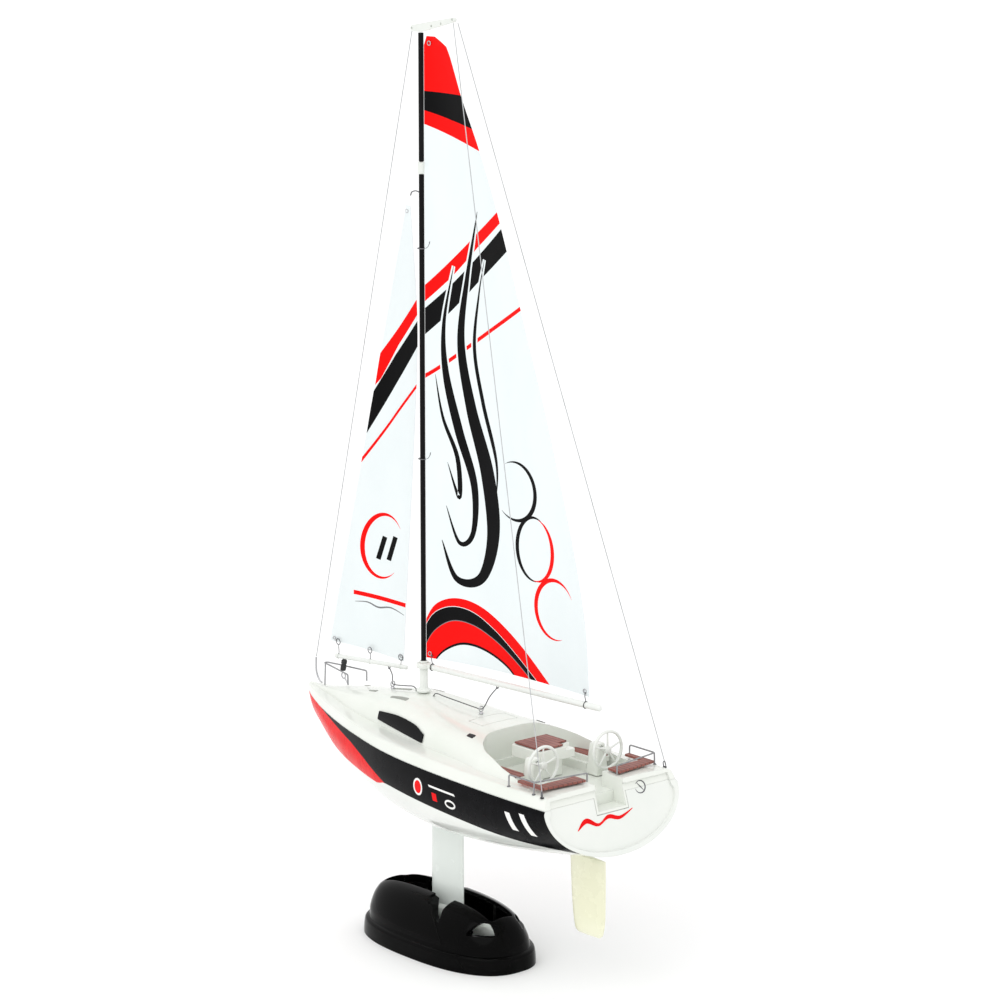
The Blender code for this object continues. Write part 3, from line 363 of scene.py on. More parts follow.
class Finish:
    """A procedural material, built up node by node in the object's own millimetres."""

    def __init__(self, name, roughness=0.4, metallic=0.0, coat=0.0, coat_roughness=0.05, specular=0.5):
        self.made = bpy.data.materials.new(name)
        self.made.use_nodes = True
        self.tree = self.made.node_tree
        self.shader = self.tree.nodes["Principled BSDF"]
        self.shader.inputs["Roughness"].default_value = roughness
        self.shader.inputs["Metallic"].default_value = metallic
        self.shader.inputs["Coat Weight"].default_value = coat
        self.shader.inputs["Coat Roughness"].default_value = coat_roughness
        self.shader.inputs["Specular IOR Level"].default_value = specular
        self.place = self.node("ShaderNodeTexCoord").outputs["Object"]

    def node(self, kind, **settings):
        made = self.tree.nodes.new(kind)
        for name, value in settings.items():
            setattr(made, name, value)
        return made

    def link(self, output, socket):
        self.tree.links.new(output, socket)

    def stretched(self, scale):
        mapping = self.node("ShaderNodeMapping")
        mapping.inputs["Scale"].default_value = scale
        self.link(self.place, mapping.inputs["Vector"])
        return mapping.outputs["Vector"]

    def noise(self, size, detail=4.0, stretch=(1, 1, 1), rough=0.55):
        """Noise with features about this many millimetres across."""
        noise = self.node("ShaderNodeTexNoise")
        noise.inputs["Scale"].default_value = 1.0 / (size * MM)
        noise.inputs["Detail"].default_value = detail
        noise.inputs["Roughness"].default_value = rough
        self.link(self.stretched(stretch), noise.inputs["Vector"])
        return noise.outputs["Fac"]

    def ramp(self, value, low, high, start=0.35, end=0.65):
        """Map part of a value's range to a new range."""
        spread = self.node("ShaderNodeMapRange")
        for name, number in (("From Min", start), ("From Max", end), ("To Min", low), ("To Max", high)):
            spread.inputs[name].default_value = number
        self.link(value, spread.inputs["Value"])
        return spread.outputs["Result"]

    def mix(self, factor, first, second):
        """Mix two colours, given as numbers or as another node's output."""
        mix = self.node("ShaderNodeMix", data_type="RGBA")
        self.link(factor, mix.inputs["Factor"])
        for socket, colour in ((mix.inputs[6], first), (mix.inputs[7], second)):
            if isinstance(colour, tuple):
                socket.default_value = (*colour, 1.0)
            else:
                self.link(colour, socket)
        return mix.outputs[2]

    def maths(self, operation, first, second=0.0):
        node = self.node("ShaderNodeMath", operation=operation)
        for socket, value in zip(node.inputs, (first, second)):
            if isinstance(value, (int, float)):
                socket.default_value = value
            else:
                self.link(value, socket)
        return node.outputs[0]

    def axis(self, name):
        split = self.node("ShaderNodeSeparateXYZ")
        self.link(self.place, split.inputs[0])
        return split.outputs[name]

    def stripes(self, axis, spacing, width):
        """1 on thin lines across an axis, spaced and as wide as given in millimetres."""
        share = self.maths("FRACT",
                           self.maths("DIVIDE", self.maths("ADD", self.axis(axis), 1.0), spacing * MM))
        return self.maths("LESS_THAN", share, width / spacing)

    def bump(self, height, depth, normal=None):
        """Raise the surface by this many millimetres at height 1."""
        bump = self.node("ShaderNodeBump")
        bump.inputs["Strength"].default_value = 1.0
        bump.inputs["Distance"].default_value = depth * MM
        self.link(height, bump.inputs["Height"])
        if normal is not None:
            self.link(normal, bump.inputs["Normal"])
        self.link(bump.outputs["Normal"], self.shader.inputs["Normal"])
        return bump.outputs["Normal"]

    def colour(self, value):
        self.link(value, self.shader.inputs["Base Color"])

    def rough(self, value):
        self.link(value, self.shader.inputs["Roughness"])


def moulded(name, light, dark, rough=(0.16, 0.28), coat=0.0, orange_peel=0.012, soft=0.0, specular=0.5):
    """A moulded plastic: faint clouding, a fine orange peel, and handling marks in its gloss."""
    f = Finish(name, coat=coat, specular=specular)
    f.colour(f.mix(f.ramp(f.noise(38, 3), 0, 1), light, dark))
    f.rough(f.ramp(f.noise(9, 6), *rough))
    normal = None
    if soft:
        bevel = f.node("ShaderNodeBevel", samples=4)
        bevel.inputs["Radius"].default_value = soft * MM
        normal = bevel.outputs["Normal"]
    f.bump(f.noise(2.2, 3), orange_peel, normal)
    return f.made


def drawn_metal(name, light, dark, rough=(0.22, 0.42), stretch=(1, 1, 0.12), metallic=1.0):
    f = Finish(name, metallic=metallic)
    f.colour(f.mix(f.ramp(f.noise(3.0, 5, stretch), 0, 1), light, dark))
    f.rough(f.ramp(f.noise(1.2, 6, stretch), *rough))
    f.bump(f.noise(0.5, 4, stretch), 0.004)
    return f.made


def film(name, light, dark, rough=(0.2, 0.32)):
    """A printed film: flat colour with faint density changes and a wavy gloss."""
    f = Finish(name, specular=0.05)
    f.colour(f.mix(f.ramp(f.noise(5, 4), 0, 1), light, dark))
    f.rough(f.ramp(f.noise(11, 5), *rough))
    f.bump(f.noise(6, 3), 0.03)
    return f.made


def sail_finish(name, light, dark, rough=(0.34, 0.5)):
    """Sail film: a fine woven scrim under the print, with shallow creases that run with the luff."""
    f = Finish(name, specular=0.07)
    f.colour(f.mix(f.ramp(f.noise(26, 4, (1, 1, 0.4)), 0, 1), light, dark))
    f.rough(f.ramp(f.noise(14, 5), *rough))
    weave = f.maths("ADD", f.stripes("Z", 1.1, 0.5), f.stripes("Y", 1.1, 0.5))
    fine = f.bump(weave, 0.003)
    f.bump(f.noise(24, 2, (1, 1, 0.25)), 0.2, fine)
    return f.made


WHITE_HULL = moulded("hull_gloss", (0.80, 0.82, 0.78), (0.76, 0.79, 0.75), (0.12, 0.22), coat=0.4, soft=0.35)
WHITE_DECK = moulded("deck_gloss", (0.80, 0.82, 0.77), (0.76, 0.79, 0.73), (0.14, 0.26), coat=0.35, soft=0.5)
WHITE_KEEL = moulded("keel_gloss", (0.77, 0.82, 0.78), (0.74, 0.79, 0.75), (0.18, 0.28), coat=0.3,
                     orange_peel=0.005)
WHITE_BULB = moulded("bulb_coated", (0.86, 0.89, 0.86), (0.80, 0.84, 0.80), (0.2, 0.34), coat=0.3,
                     orange_peel=0.03)
CREAM = moulded("rudder_cream", (0.84, 0.84, 0.65), (0.80, 0.80, 0.59), (0.2, 0.32), coat=0.3,
                orange_peel=0.005)
WHITE_NYLON = moulded("white_nylon", (0.79, 0.81, 0.77), (0.73, 0.76, 0.72), (0.28, 0.42), orange_peel=0.02,
                      soft=0.2)
WHEEL_WHITE = moulded("wheel_grey", (0.80, 0.82, 0.78), (0.74, 0.77, 0.73), (0.24, 0.36), soft=0.2)
SPAR_WHITE = moulded("spar_white", (0.79, 0.81, 0.78), (0.75, 0.77, 0.74), (0.2, 0.32), coat=0.3)
BLACK_NYLON = moulded("black_nylon", (0.02, 0.02, 0.022), (0.032, 0.032, 0.034), (0.4, 0.6), orange_peel=0.03,
                      specular=0.3)
WINDOW = moulded("window_black", (0.002, 0.002, 0.0025), (0.004, 0.004, 0.005), (0.05, 0.12),
                 orange_peel=0.006, specular=0.09)
MAST_BLACK = moulded("mast_black", (0.003, 0.003, 0.0035), (0.006, 0.006, 0.0065), (0.3, 0.45),
                     orange_peel=0.01, specular=0.1)
PATCH_GREY = moulded("deck_patch_grey", (0.36, 0.37, 0.34), (0.30, 0.31, 0.28), (0.5, 0.7), orange_peel=0.05)
SERVO_BLUE = moulded("servo_blue", (0.03, 0.10, 0.42), (0.05, 0.14, 0.5), (0.2, 0.34), orange_peel=0.02)
WRAP_BLUE = moulded("battery_wrap", (0.02, 0.10, 0.40), (0.04, 0.15, 0.52), (0.12, 0.3), coat=0.5,
                    orange_peel=0.12)
STEEL = drawn_metal("steel", (0.60, 0.60, 0.61), (0.42, 0.42, 0.44))
STEEL_DARK = drawn_metal("steel_dark", (0.20, 0.20, 0.21), (0.12, 0.12, 0.13), (0.3, 0.5))
RAIL = drawn_metal("rail_steel", (0.36, 0.36, 0.37), (0.24, 0.24, 0.25), (0.3, 0.5), metallic=0.7)
STAY = drawn_metal("rigging_wire", (0.52, 0.53, 0.54), (0.40, 0.41, 0.42), (0.4, 0.6), metallic=0.3)
BRASS = drawn_metal("brass", (0.78, 0.60, 0.30), (0.62, 0.44, 0.20))
FILM_BLACK = film("film_black", (0.002, 0.002, 0.0025), (0.004, 0.004, 0.005), (0.16, 0.3))
FILM_RED = film("film_red", (0.84, 0.008, 0.010), (0.74, 0.006, 0.008))
FILM_WHITE = film("film_white", (0.88, 0.88, 0.86), (0.82, 0.82, 0.80))
FILM_GREY = film("film_grey", (0.10, 0.10, 0.11), (0.16, 0.16, 0.17))
SAIL_WHITE = sail_finish("sail_film", (0.81, 0.86, 0.866), (0.785, 0.84, 0.848))
SAIL_RED = sail_finish("sail_print_red", (0.92, 0.004, 0.003), (0.84, 0.003, 0.003))
SAIL_BLACK = sail_finish("sail_print_black", (0.002, 0.002, 0.0022), (0.004, 0.004, 0.0045), (0.28, 0.4))
SAIL_GREY = sail_finish("sail_print_grey", (0.16, 0.16, 0.17), (0.22, 0.22, 0.23))
SAIL_FINISHES = [SAIL_WHITE, SAIL_RED, SAIL_BLACK, SAIL_GREY]


def stand_finish():
    """High gloss black, with dust, fine scratches in the gloss and a slow waviness."""
    f = Finish("stand_black", specular=0.05)
    dust = f.ramp(f.noise(0.7, 2), 0, 1, 0.72, 0.8)
    f.colour(f.mix(dust, (0.0015, 0.0015, 0.0015), (0.02, 0.02, 0.02)))
    scratches = f.ramp(f.noise(1.6, 3, (1, 0.06, 1)), 0, 0.12, 0.62, 0.72)
    f.rough(f.maths("ADD", scratches, f.ramp(f.noise(14, 5), 0.06, 0.13)))
    bevel = f.node("ShaderNodeBevel", samples=4)
    bevel.inputs["Radius"].default_value = 0.5 * MM
    f.bump(f.noise(30, 2), 0.05, bevel.outputs["Normal"])
    return f.made


def teak_finish():
    """Reddish planks with dark seams between them and grain along the boat."""
    f = Finish("teak")
    grain = f.noise(1.1, 6, (1, 0.08, 1), 0.65)
    plank = f.mix(f.ramp(grain, 0, 1, 0.3, 0.7), (0.30, 0.085, 0.065), (0.17, 0.045, 0.035))
    seams = f.stripes("X", 3.2, 0.4)
    f.colour(f.mix(seams, f.mix(f.ramp(f.noise(16, 3), 0, 0.5), plank, (0.36, 0.13, 0.10)),
                   (0.03, 0.012, 0.01)))
    f.rough(f.ramp(grain, 0.38, 0.6, 0.3, 0.7))
    groove = f.bump(f.maths("SUBTRACT", 1.0, seams), 0.08)
    f.bump(grain, 0.02, groove)
    return f.made


def cord_finish():
    """A fine braid: slanted strands that cross round the cord, with painted shade in the grooves between
    them.
    """
    f = Finish("sheet_cord", roughness=0.75)
    strands = f.maths("SINE", f.maths("MULTIPLY", f.maths("ADD", f.axis("Z"), f.axis("Y")), tau / (0.5 * MM)))
    other = f.maths("SINE",
                    f.maths("MULTIPLY", f.maths("SUBTRACT", f.axis("X"), f.axis("Y")), tau / (0.5 * MM)))
    braid = f.maths("MAXIMUM", strands, other)
    # Painted shade: the colour follows the braid's relief, lighter on the strands' crests and darker in the
    # grooves between them.
    f.colour(f.mix(f.ramp(braid, 0, 1, -0.2, 1.0), (0.05, 0.05, 0.052), (0.15, 0.15, 0.155)))
    f.rough(f.ramp(f.noise(0.4, 3), 0.6, 0.85))
    f.bump(braid, 0.03)
    return f.made


def board_finish():
    """A green circuit board with broken copper tracks in relief."""
    f = Finish("board_green", coat=0.4, coat_roughness=0.15)
    tracks = f.maths("MAXIMUM", f.stripes("X", 2.0, 0.5), f.stripes("Y", 2.6, 0.45))
    broken = f.maths("MULTIPLY", tracks, f.ramp(f.noise(4, 2), 0, 1, 0.48, 0.52))
    f.colour(f.mix(broken, (0.015, 0.13, 0.05), (0.10, 0.30, 0.10)))
    f.rough(f.ramp(f.noise(2, 4), 0.25, 0.4))
    f.bump(broken, 0.04)
    return f.made


STAND_BLACK = stand_finish()
TEAK = teak_finish()
CORD = cord_finish()
BOARD = board_finish()


# ---------------------------------------------------------------- hull

def raked(forward, up):
    share = max(0.0, min(1.0, (-100 - forward) / (-100 - STERN)))
    return forward + STERN_RAKE * (up - STERN_LEVEL) * share


def hull_section(forward, inset=0.0, count=26):
    """Places across the hull from the starboard joint line round the keel to the port one."""
    beam = max(along(BEAM, forward) - inset, 0.6)
    keel = along(KEEL, forward) + inset
    top = along(JOINT, forward)
    widest = keel + (top - keel) * along(WIDEST, forward)
    deck_half = max(beam - along(TUMBLEHOME, forward) * 0.35, 0.4)
    fullness = along(FULLNESS, forward)
    half = []
    for i in range(count + 1):
        angle = i / count * pi / 2
        half.append((beam * sin(angle) ** (2 / fullness),
                     widest - (widest - keel) * cos(angle) ** (2 / fullness)))
    for t in (0.25, 0.5, 0.75, 1.0):
        half.append((beam - (beam - deck_half) * t * t, widest + (top - widest) * t))
    if inset:
        half.append((deck_half, top + 12))
    return [(-p, z) for p, z in half[::-1]][:-1] + half


def hull_side(forward, up):
    """How far out the hull's side is at a station and height."""
    beam, keel, top = along(BEAM, forward), along(KEEL, forward), along(JOINT, forward)
    widest = keel + (top - keel) * along(WIDEST, forward)
    if up >= widest:
        t = (up - widest) / max(top - widest, 1e-6)
        return beam - min(along(TUMBLEHOME, forward) * 0.35, beam - 0.4) * t * t
    share = min(1.0, max(0.0, (widest - up) / (widest - keel)))
    fullness = along(FULLNESS, forward)
    return beam * max(0.0, 1 - share**fullness) ** (1 / fullness)


def stations(first, last, count):
    """Stations that crowd together towards both ends."""
    return [first + (last - first) * (0.5 - 0.5 * cos(pi * i / count)) for i in range(count + 1)]


def section_loft(name, span, section):
    return loft(name, [[at(raked(f, z), p, z) for p, z in section(f)] for f in span])


def stern_recess():
    low = hull_section(STERN, count=16)
    rim = [(p * 0.93, 104 + (z - 104) * 0.83) for p, z in low]
    top = max(z for _, z in rim)
    rim = [(rim[0][0] * 0.97, top + 7)] + rim + [(rim[-1][0] * 0.97, top + 7)]
    return section_loft("stern_recess", (STERN - 5, STERN + RECESS), lambda f: rim)


def hull():
    made = section_loft("hull", stations(STERN, BOW, 84), hull_section)
    inside = section_loft("hull_inside", stations(STERN + 3.2, 119, 40),
                          lambda f: hull_section(f, WALL, 14))
    notch = box("stern_opening", (30, 2 * (WALKWAY + WALL + JOINT_GAP), 40),
                (STERN, 0, STEP - WALL - JOINT_GAP + 20))
    bolt = rod("keel_hole", 2.1, (0, 0, 70), (0, 0, 84), 0.0)
    post = rod("rudder_hole", 2.3, (RUDDER_AXIS, 0, 75), (RUDDER_AXIS, 0, 100), 0.0)
    carve(made, "DIFFERENCE", inside, stern_recess(), notch, bolt, post)
    shown(made, WHITE_HULL, "boat", ("hull_shell",), edge=0.3, angle=40)


# ---------------------------------------------------------------- flat artwork on curved surfaces

def inside_outline(points, outline):
    """Which of the points lie inside a closed outline."""
    x, y = points[:, 0], points[:, 1]
    result = np.zeros(len(points), bool)
    outline = np.array([tuple(p)[:2] for p in outline], float)
    for (x0, y0), (x1, y1) in zip(outline, np.roll(outline, -1, axis=0)):
        if y0 == y1:
            continue
        crosses = (y0 > y) != (y1 > y)
        result ^= crosses & (x < (x1 - x0) * (y - y0) / (y1 - y0) + x0)
    return result


def artwork(name, outline, shapes, step, place):
    """A triangulated sheet whose triangles follow its printed shapes.

    shapes are (material index, outline) pairs, and later ones lie over earlier ones."""
    outline = [Vector(tuple(p)[:2]) for p in outline]
    shapes = [(index, [Vector(tuple(p)[:2]) for p in shape]) for index, shape in shapes]
    points, edges = [], []
    for loop in [outline] + [shape for _, shape in shapes]:
        loop = divided(loop, step)
        start = len(points)
        points += loop
        edges += [(start + i, start + (i + 1) % len(loop)) for i in range(len(loop))]
    low = Vector((min(p.x for p in outline), min(p.y for p in outline)))
    high = Vector((max(p.x for p in outline), max(p.y for p in outline)))
    grid = np.array([(x, y) for x in np.arange(low.x, high.x, step) for y in np.arange(low.y, high.y, step)])
    points += [Vector(p) for p in grid[inside_outline(grid, outline)]]
    verts, _, faces, *_ = delaunay_2d_cdt(points, edges, [], 0, 1e-4)
    spots = np.array([tuple(v) for v in verts])
    centres = np.array([spots[list(face)].mean(axis=0) for face in faces])
    keep = inside_outline(centres, outline)
    finish = np.zeros(len(faces), int)
    for index, shape in shapes:
        finish[inside_outline(centres, shape)] = index
    used = sorted({v for face, kept in zip(faces, keep) if kept for v in face})
    order = {v: i for i, v in enumerate(used)}
    mesh = bpy.data.meshes.new(name)
    mesh.from_pydata([tuple(place(*spots[v])) for v in used], [],
                     [tuple(order[v] for v in face) for face, kept in zip(faces, keep) if kept])
    mesh.polygons.foreach_set("material_index", finish[keep].astype(np.int32))
    made = bpy.data.objects.new(name, mesh)
    bpy.context.scene.collection.objects.link(made)
    return made


def divided(loop, step):
    result = []
    for a, b in zip(loop, loop[1:] + loop[:1]):
        count = max(1, int((b - a).length / step))
        result += [a.lerp(b, i / count) for i in range(count)]
    return result


def sheeted(made, finishes, thickness, body, replaced=(), middle=True):
    """Give artwork a thickness, keeping each triangle's own material."""
    for finish in finishes:
        made.data.materials.append(finish)
    made.data.shade_smooth()
    wall = made.modifiers.new("thickness", "SOLIDIFY")
    wall.thickness = thickness * MM
    wall.offset = 0.0 if middle else -1.0
    bake(made)
    made.data.set_sharp_from_angle(angle=radians(40))
    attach(made, body)
    if replaced:
        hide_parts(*replaced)
    return made


def ribbon(route, widths):
    """A tapered stroke: an outline round a smooth centre line, with widths read along it."""
    route = [Vector(tuple(p)[:2]) for p in route]
    total = len(route) - 1
    left, right = [], []
    for i, spot in enumerate(route):
        ahead = (route[min(i + 1, total)] - route[max(i - 1, 0)]).normalized()
        side = Vector((-ahead.y, ahead.x)) * along(widths, i / total) / 2
        left.append(spot + side)
        right.append(spot - side)
    return left + right[::-1]


def arc(centre, radii, start, end, count=28):
    """Places round an ellipse between two angles in degrees."""
    return [(centre[0] + radii[0] * cos(radians(start + (end - start) * i / count)), centre[1]
             + radii[1] * sin(radians(start + (end - start) * i / count)))
            for i in range(count + 1)]


def slanted_bar(x, y, width, height, lean):
    return [(x, y), (x + width, y), (x + width + lean, y + height), (x + lean, y + height)]


def on_hull(side, lift=0.06):
    """Put (station, height) places on the hull's side, lifted clear of it."""
    def place(forward, up):
        out = hull_side(forward, up)
        slope_f = (hull_side(forward + 0.5, up) - hull_side(forward - 0.5, up))
        slope_z = (hull_side(forward, min(up + 0.5, along(JOINT, forward))) - hull_side(forward, up - 0.5))
        normal = Vector((-slope_f, 1.0, -slope_z)).normalized() * lift
        return at(raked(forward, up) + normal.x, side * (out + normal.y), up + normal.z)
    return place


def hull_band():
    """The black, red and white film along both sides, with plain marks in place of lettering."""
    spans = [STERN + 0.15 + (124.0 - STERN) * i / 60 for i in range(61)]
    low = ((-137, 95.5), (-100, 97.5), (-60, 99.6), (-10, 101.6), (9, 102.2), (20, 99.5), (45, 100.0),
           (80, 102.5), (110, 110.0), (124, 121.0))
    top = [(f, along(JOINT, f) - 0.15) for f in spans]
    bottom = [(f, max(along(low, f), along(KEEL, f) + 1.0)) for f in spans]
    outline = top + bottom[::-1]
    red = [(9, 90), (9.1, 102.2), (33.2, 110.4), (50.7, 115.2), (80, 120.4), (106.8, 124.4), (130, 127),
           (130, 90)]
    marks = [(2, slanted_bar(-113.0, 104.5, 4.0, 9.5, 4.0)), (2, slanted_bar(-124.5, 104.0, 4.0, 11.5, 4.0)),
             (2, arc((-27.5, 109.4), (4.4, 4.9), 0, 360)), (1, arc((-27.5, 109.4), (3.2, 3.7), 0, 360)),
             (2, slanted_bar(-62.5, 112.0, 24.0, 1.1, 1.2)),
             (2, arc((-57.8, 106.4), (4.8, 2.5), 0, 360)), (0, arc((-57.8, 106.4), (3.6, 1.4), 0, 360)),
             (1, slanted_bar(-46.0, 105.0, 4.2, 4.4, 1.0))]
    for side, label in SIDES:
        made = artwork(f"hull_band_{label}", outline, [(1, red)] + marks, 1.0, on_hull(side, 0.12))
        if side > 0:
            made.data.flip_normals()
        sheeted(made, [FILM_BLACK, FILM_RED, FILM_WHITE], 0.12, "boat", middle=False)


def on_stern(p, z):
    return at(raked(STERN + RECESS, z) - 0.06, p, z)


def stern_artwork():
    """A plain wave stroke and a small open ring on the stern's panel."""
    wave = ribbon(smooth_route([(27, 106.2, 0), (20, 110.2, 0), (12, 106.8, 0), (4, 109.6, 0), (-4, 107.8, 0),
                                (-14, 110.8, 0)],
                               1.2),
                  ((0, 0.3), (0.2, 2.6), (0.45, 1.2), (0.6, 2.2), (1, 0.3)))
    badge = ribbon(arc((-22.4, 120.4), (3.6, 3.2), 40, 350, 30), ((0, 0.2), (0.5, 0.8), (1, 0.2)))
    bar = ribbon([(-24.4, 118.4), (-22.4, 120.6), (-20.4, 122.8)], ((0, 0.2), (0.5, 0.7), (1, 0.2)))
    for name, outline, finish in (("stern_wave", wave, FILM_RED), ("stern_badge", badge, FILM_GREY),
                                  ("stern_badge_bar", bar, FILM_GREY)):
        sheeted(artwork(name, outline, [], 1.2, on_stern), [finish], 0.1, "boat")


# ---------------------------------------------------------------- deck

def deck_profile(forward, drop=0.0, inset=0.0):
    """Places across the deck from port to starboard, with a rounded gunwale and a crowned roof."""
    joint = along(JOINT, forward) + 0.06
    edge = max(along(BEAM, forward) - along(TUMBLEHOME, forward) * 0.35 - inset, 0.4)
    side = along(SHEER, forward) - drop
    tumble = along(TUMBLEHOME, forward)
    half_roof = min(along(ROOF_HALF, forward), edge * 0.82) - inset * 0.6
    rise = along(ROOF_RISE, forward)
    outer = [(edge, joint), (edge - 0.25 * tumble, joint + (side - joint) * 0.55),
             (edge - 0.6 * tumble - 0.4, side - 0.5), (max(edge - tumble - 1.6, half_roof * 1.02), side),
             (half_roof, side + rise * 0.06)]
    roof = [(half_roof, side + rise * 0.06), (half_roof * 0.93, side + rise * 0.45),
            (half_roof * 0.80, side + rise * 0.72), (half_roof * 0.52, side + rise * 0.925),
            (half_roof * 0.25, side + rise * 0.99), (0.0, side + rise)]
    half = [(edge, joint - drop * 2)] + even(outer[:4], 10) + even(outer[3:], 3)[1:]
    crown = even(roof + [(-p, z) for p, z in roof[-2::-1]], 36)
    return half + crown[1:-1] + [(-p, z) for p, z in half[::-1]]


def even(points, count):
    """A smooth curve through points, read at an even count of places along its length."""
    route = smooth_route([(x, y, 0) for x, y in points], 0.15)
    spots = np.array([tuple(p)[:2] for p in route])
    length = np.concatenate(([0], np.cumsum(np.hypot(*np.diff(spots, axis=0).T))))
    places = np.linspace(0, length[-1], count + 1)
    return list(zip(np.interp(places, length, spots[:, 0]), np.interp(places, length, spots[:, 1])))


def roof_top(forward):
    return along(SHEER, forward) + along(ROOF_RISE, forward)


def roof_side(forward, height):
    """How far out the roof's side is at a height."""
    profile = deck_profile(forward)
    crown = [(p, z) for p, z in profile if p >= 0]
    best = crown[0][0]
    for (p0, z0), (p1, z1) in zip(crown, crown[1:]):
        if z0 <= height <= z1 and z1 > z0:
            best = p0 + (p1 - p0) * (height - z0) / (z1 - z0)
    return best


def cockpit_outline(grow=0.0):
    front, aft = COCKPIT_FRONT + grow, COCKPIT_AFT - grow
    half = [(front, 18 + grow), (front - 5, 26 + grow), (-68, 31 + grow), (-88, 35.5 + grow),
            (aft + 7, 36.5 + grow), (aft, 31 + grow)]
    return rounded_plan(mirrored(half), 3.0, 4)


def deck():
    made = section_loft("deck", stations(STERN, BOW, 90), deck_profile)
    under = section_loft("deck_underside", stations(STERN + 3.2, 121, 40),
                         lambda f: deck_profile(f, WALL, WALL))
    carve(under, "DIFFERENCE", plan_prism("well_column", cockpit_outline(WALL), 100, 170),
          box("passage_column", (40, 2 * (WALKWAY + WALL), 60), (-136, 0, 130)))
    low, high = STEP - WALL, 125
    aft_end = STERN + 2 * JOINT_GAP
    step_side = [(raked(aft_end, low), low), (raked(aft_end, high), high), (STEP_FRONT + WALL, high),
                 (STEP_FRONT + WALL, low)]
    carve(made, "UNION", plan_prism("well_body", cockpit_outline(WALL), SOLE - WALL, 126),
          side_prism("step_body", step_side, WALKWAY + WALL),
          box("passage_body", (20, 2 * (WALKWAY + WALL), 125 - SOLE + WALL),
              (-125, 0, (125 + SOLE - WALL) / 2)))
    aft = [(BENCH_AFT + 3, 35.3), (COCKPIT_AFT + 7, 36), (COCKPIT_AFT + 0.5, 31)]
    aft = rounded_plan(mirrored(aft), 3.0, 4)
    tools = [under, plan_prism("cockpit_space", cockpit_outline(), BENCH, 170),
             box("foot_well", (COCKPIT_FRONT - COCKPIT_AFT - 4, 2 * FOOT_WELL, 60),
                 ((COCKPIT_FRONT + COCKPIT_AFT) / 2, 0, SOLE + 30)),
             plan_prism("helm_well", aft, SOLE, 170),
             box("stern_passage", (60, 2 * WALKWAY, 60), (-145, 0, SOLE + 30)),
             box("boarding_step", (20, 2 * WALKWAY, 60), (STEP_FRONT - 10, 0, STEP + 30)),
             stern_recess()]
    tools += [rod("sheet_hole", 0.9, (forward, 0, 120), (forward, 0, 165), 0.0) for forward in SHEET_HOLES]
    tools.append(box("hatch_opening", (HATCH[1], HATCH[2], 40), (HATCH[0], 0, 150)))
    carve(made, "DIFFERENCE", *tools)
    shown(made, WHITE_DECK, "boat", ("deck_moulding",), edge=0.45, angle=32)


def hatch():
    made = section_loft("hatch_panel", stations(-60, -20, 30), deck_profile)
    under = section_loft("hatch_underside", stations(-62, -18, 12), lambda f: deck_profile(f, WALL, WALL))
    keep = rounded_plan(
        [(HATCH[0] + a * (HATCH[1] / 2 - JOINT_GAP), b * (HATCH[2] / 2 - JOINT_GAP))
         for a, b in CORNERS], 1.0, 4)
    carve(made, "INTERSECT", plan_prism("hatch_edge", keep, 130, 170))
    carve(made, "DIFFERENCE", under)
    shown(made, WHITE_DECK, "hatch", ("service_hatch",), edge=0.3)


def windows():
    lower = ((-14, 128.6), (36, 130.8))
    upper = ((-14, 133.2), (-2, 136.4), (14, 137.2), (36, 135.4))
    spans = [-13.5 + 49 * i / 40 for i in range(41)]
    outline = [(f, along(lower, f)) for f in spans] + [(f, along(upper, f)) for f in spans[::-1]]
    outline = rounded_outline([(f, z, 0) for f, z in outline], 0.5, 2)
    for side, label in SIDES:
        made = artwork(f"window_{label}", outline, [], 1.5,
                       lambda f, z: at(f, side * (roof_side(f, z) + 0.65), z))
        sheeted(made, [WINDOW], 0.5, "boat", (f"cabin_window_{label}",))


def roof_height(forward, port):
    """The deck's height at a place, from its own profile."""
    profile = deck_profile(forward)
    half = sorted((p, z) for p, z in profile[1:-1] if p >= 0)
    return float(np.interp(abs(port), [p for p, _ in half], [z for _, z in half]))


def on_roof(lift):
    return lambda f, p: at(f, p, roof_height(f, p) + lift)


def deck_patches():
    """Grey non-slip patches on the roof and round the mast, and two dark vents near the cockpit."""
    for index, (forward, port, length, width) in enumerate(
            ((78.5, -4.6, 4.5, 2.2), (58.9, 6.8, 7.0, 2.4), (58.3, -14.3, 7.0, 2.4), (41.3, -0.3, 16.0, 2.8),
             (27.3, -13.3, 15.0, 2.6), (27.3, 13.3, 15.0, 2.6))):
        half = (length / 2, width / 2)
        outline = rounded_outline([(forward + a * half[0], port + b * half[1], 0)
                                   for a, b in ((1, 0.55), (1, -0.55), (-1, -1), (-1, 1))], 0.9, 4)
        made = artwork(f"deck_patch_{index}", outline, [], 1.2, on_roof(0.12))
        sheeted(made, [PATCH_GREY], 0.25, "boat")
    for index, (forward, port) in enumerate(((-48.4, 24.3), (-49.6, -25.9))):
        outline = rounded_outline([(forward + a * 2.6, port + b * 1.5, 0)
                                   for a, b in ((1, 0.8), (1, -0.8), (-1, -1), (-1, 1))], 0.6, 4)
        made = artwork(f"roof_vent_{index}", outline, [], 0.8, on_roof(0.15))
        sheeted(made, [BLACK_NYLON], 0.3, "boat")


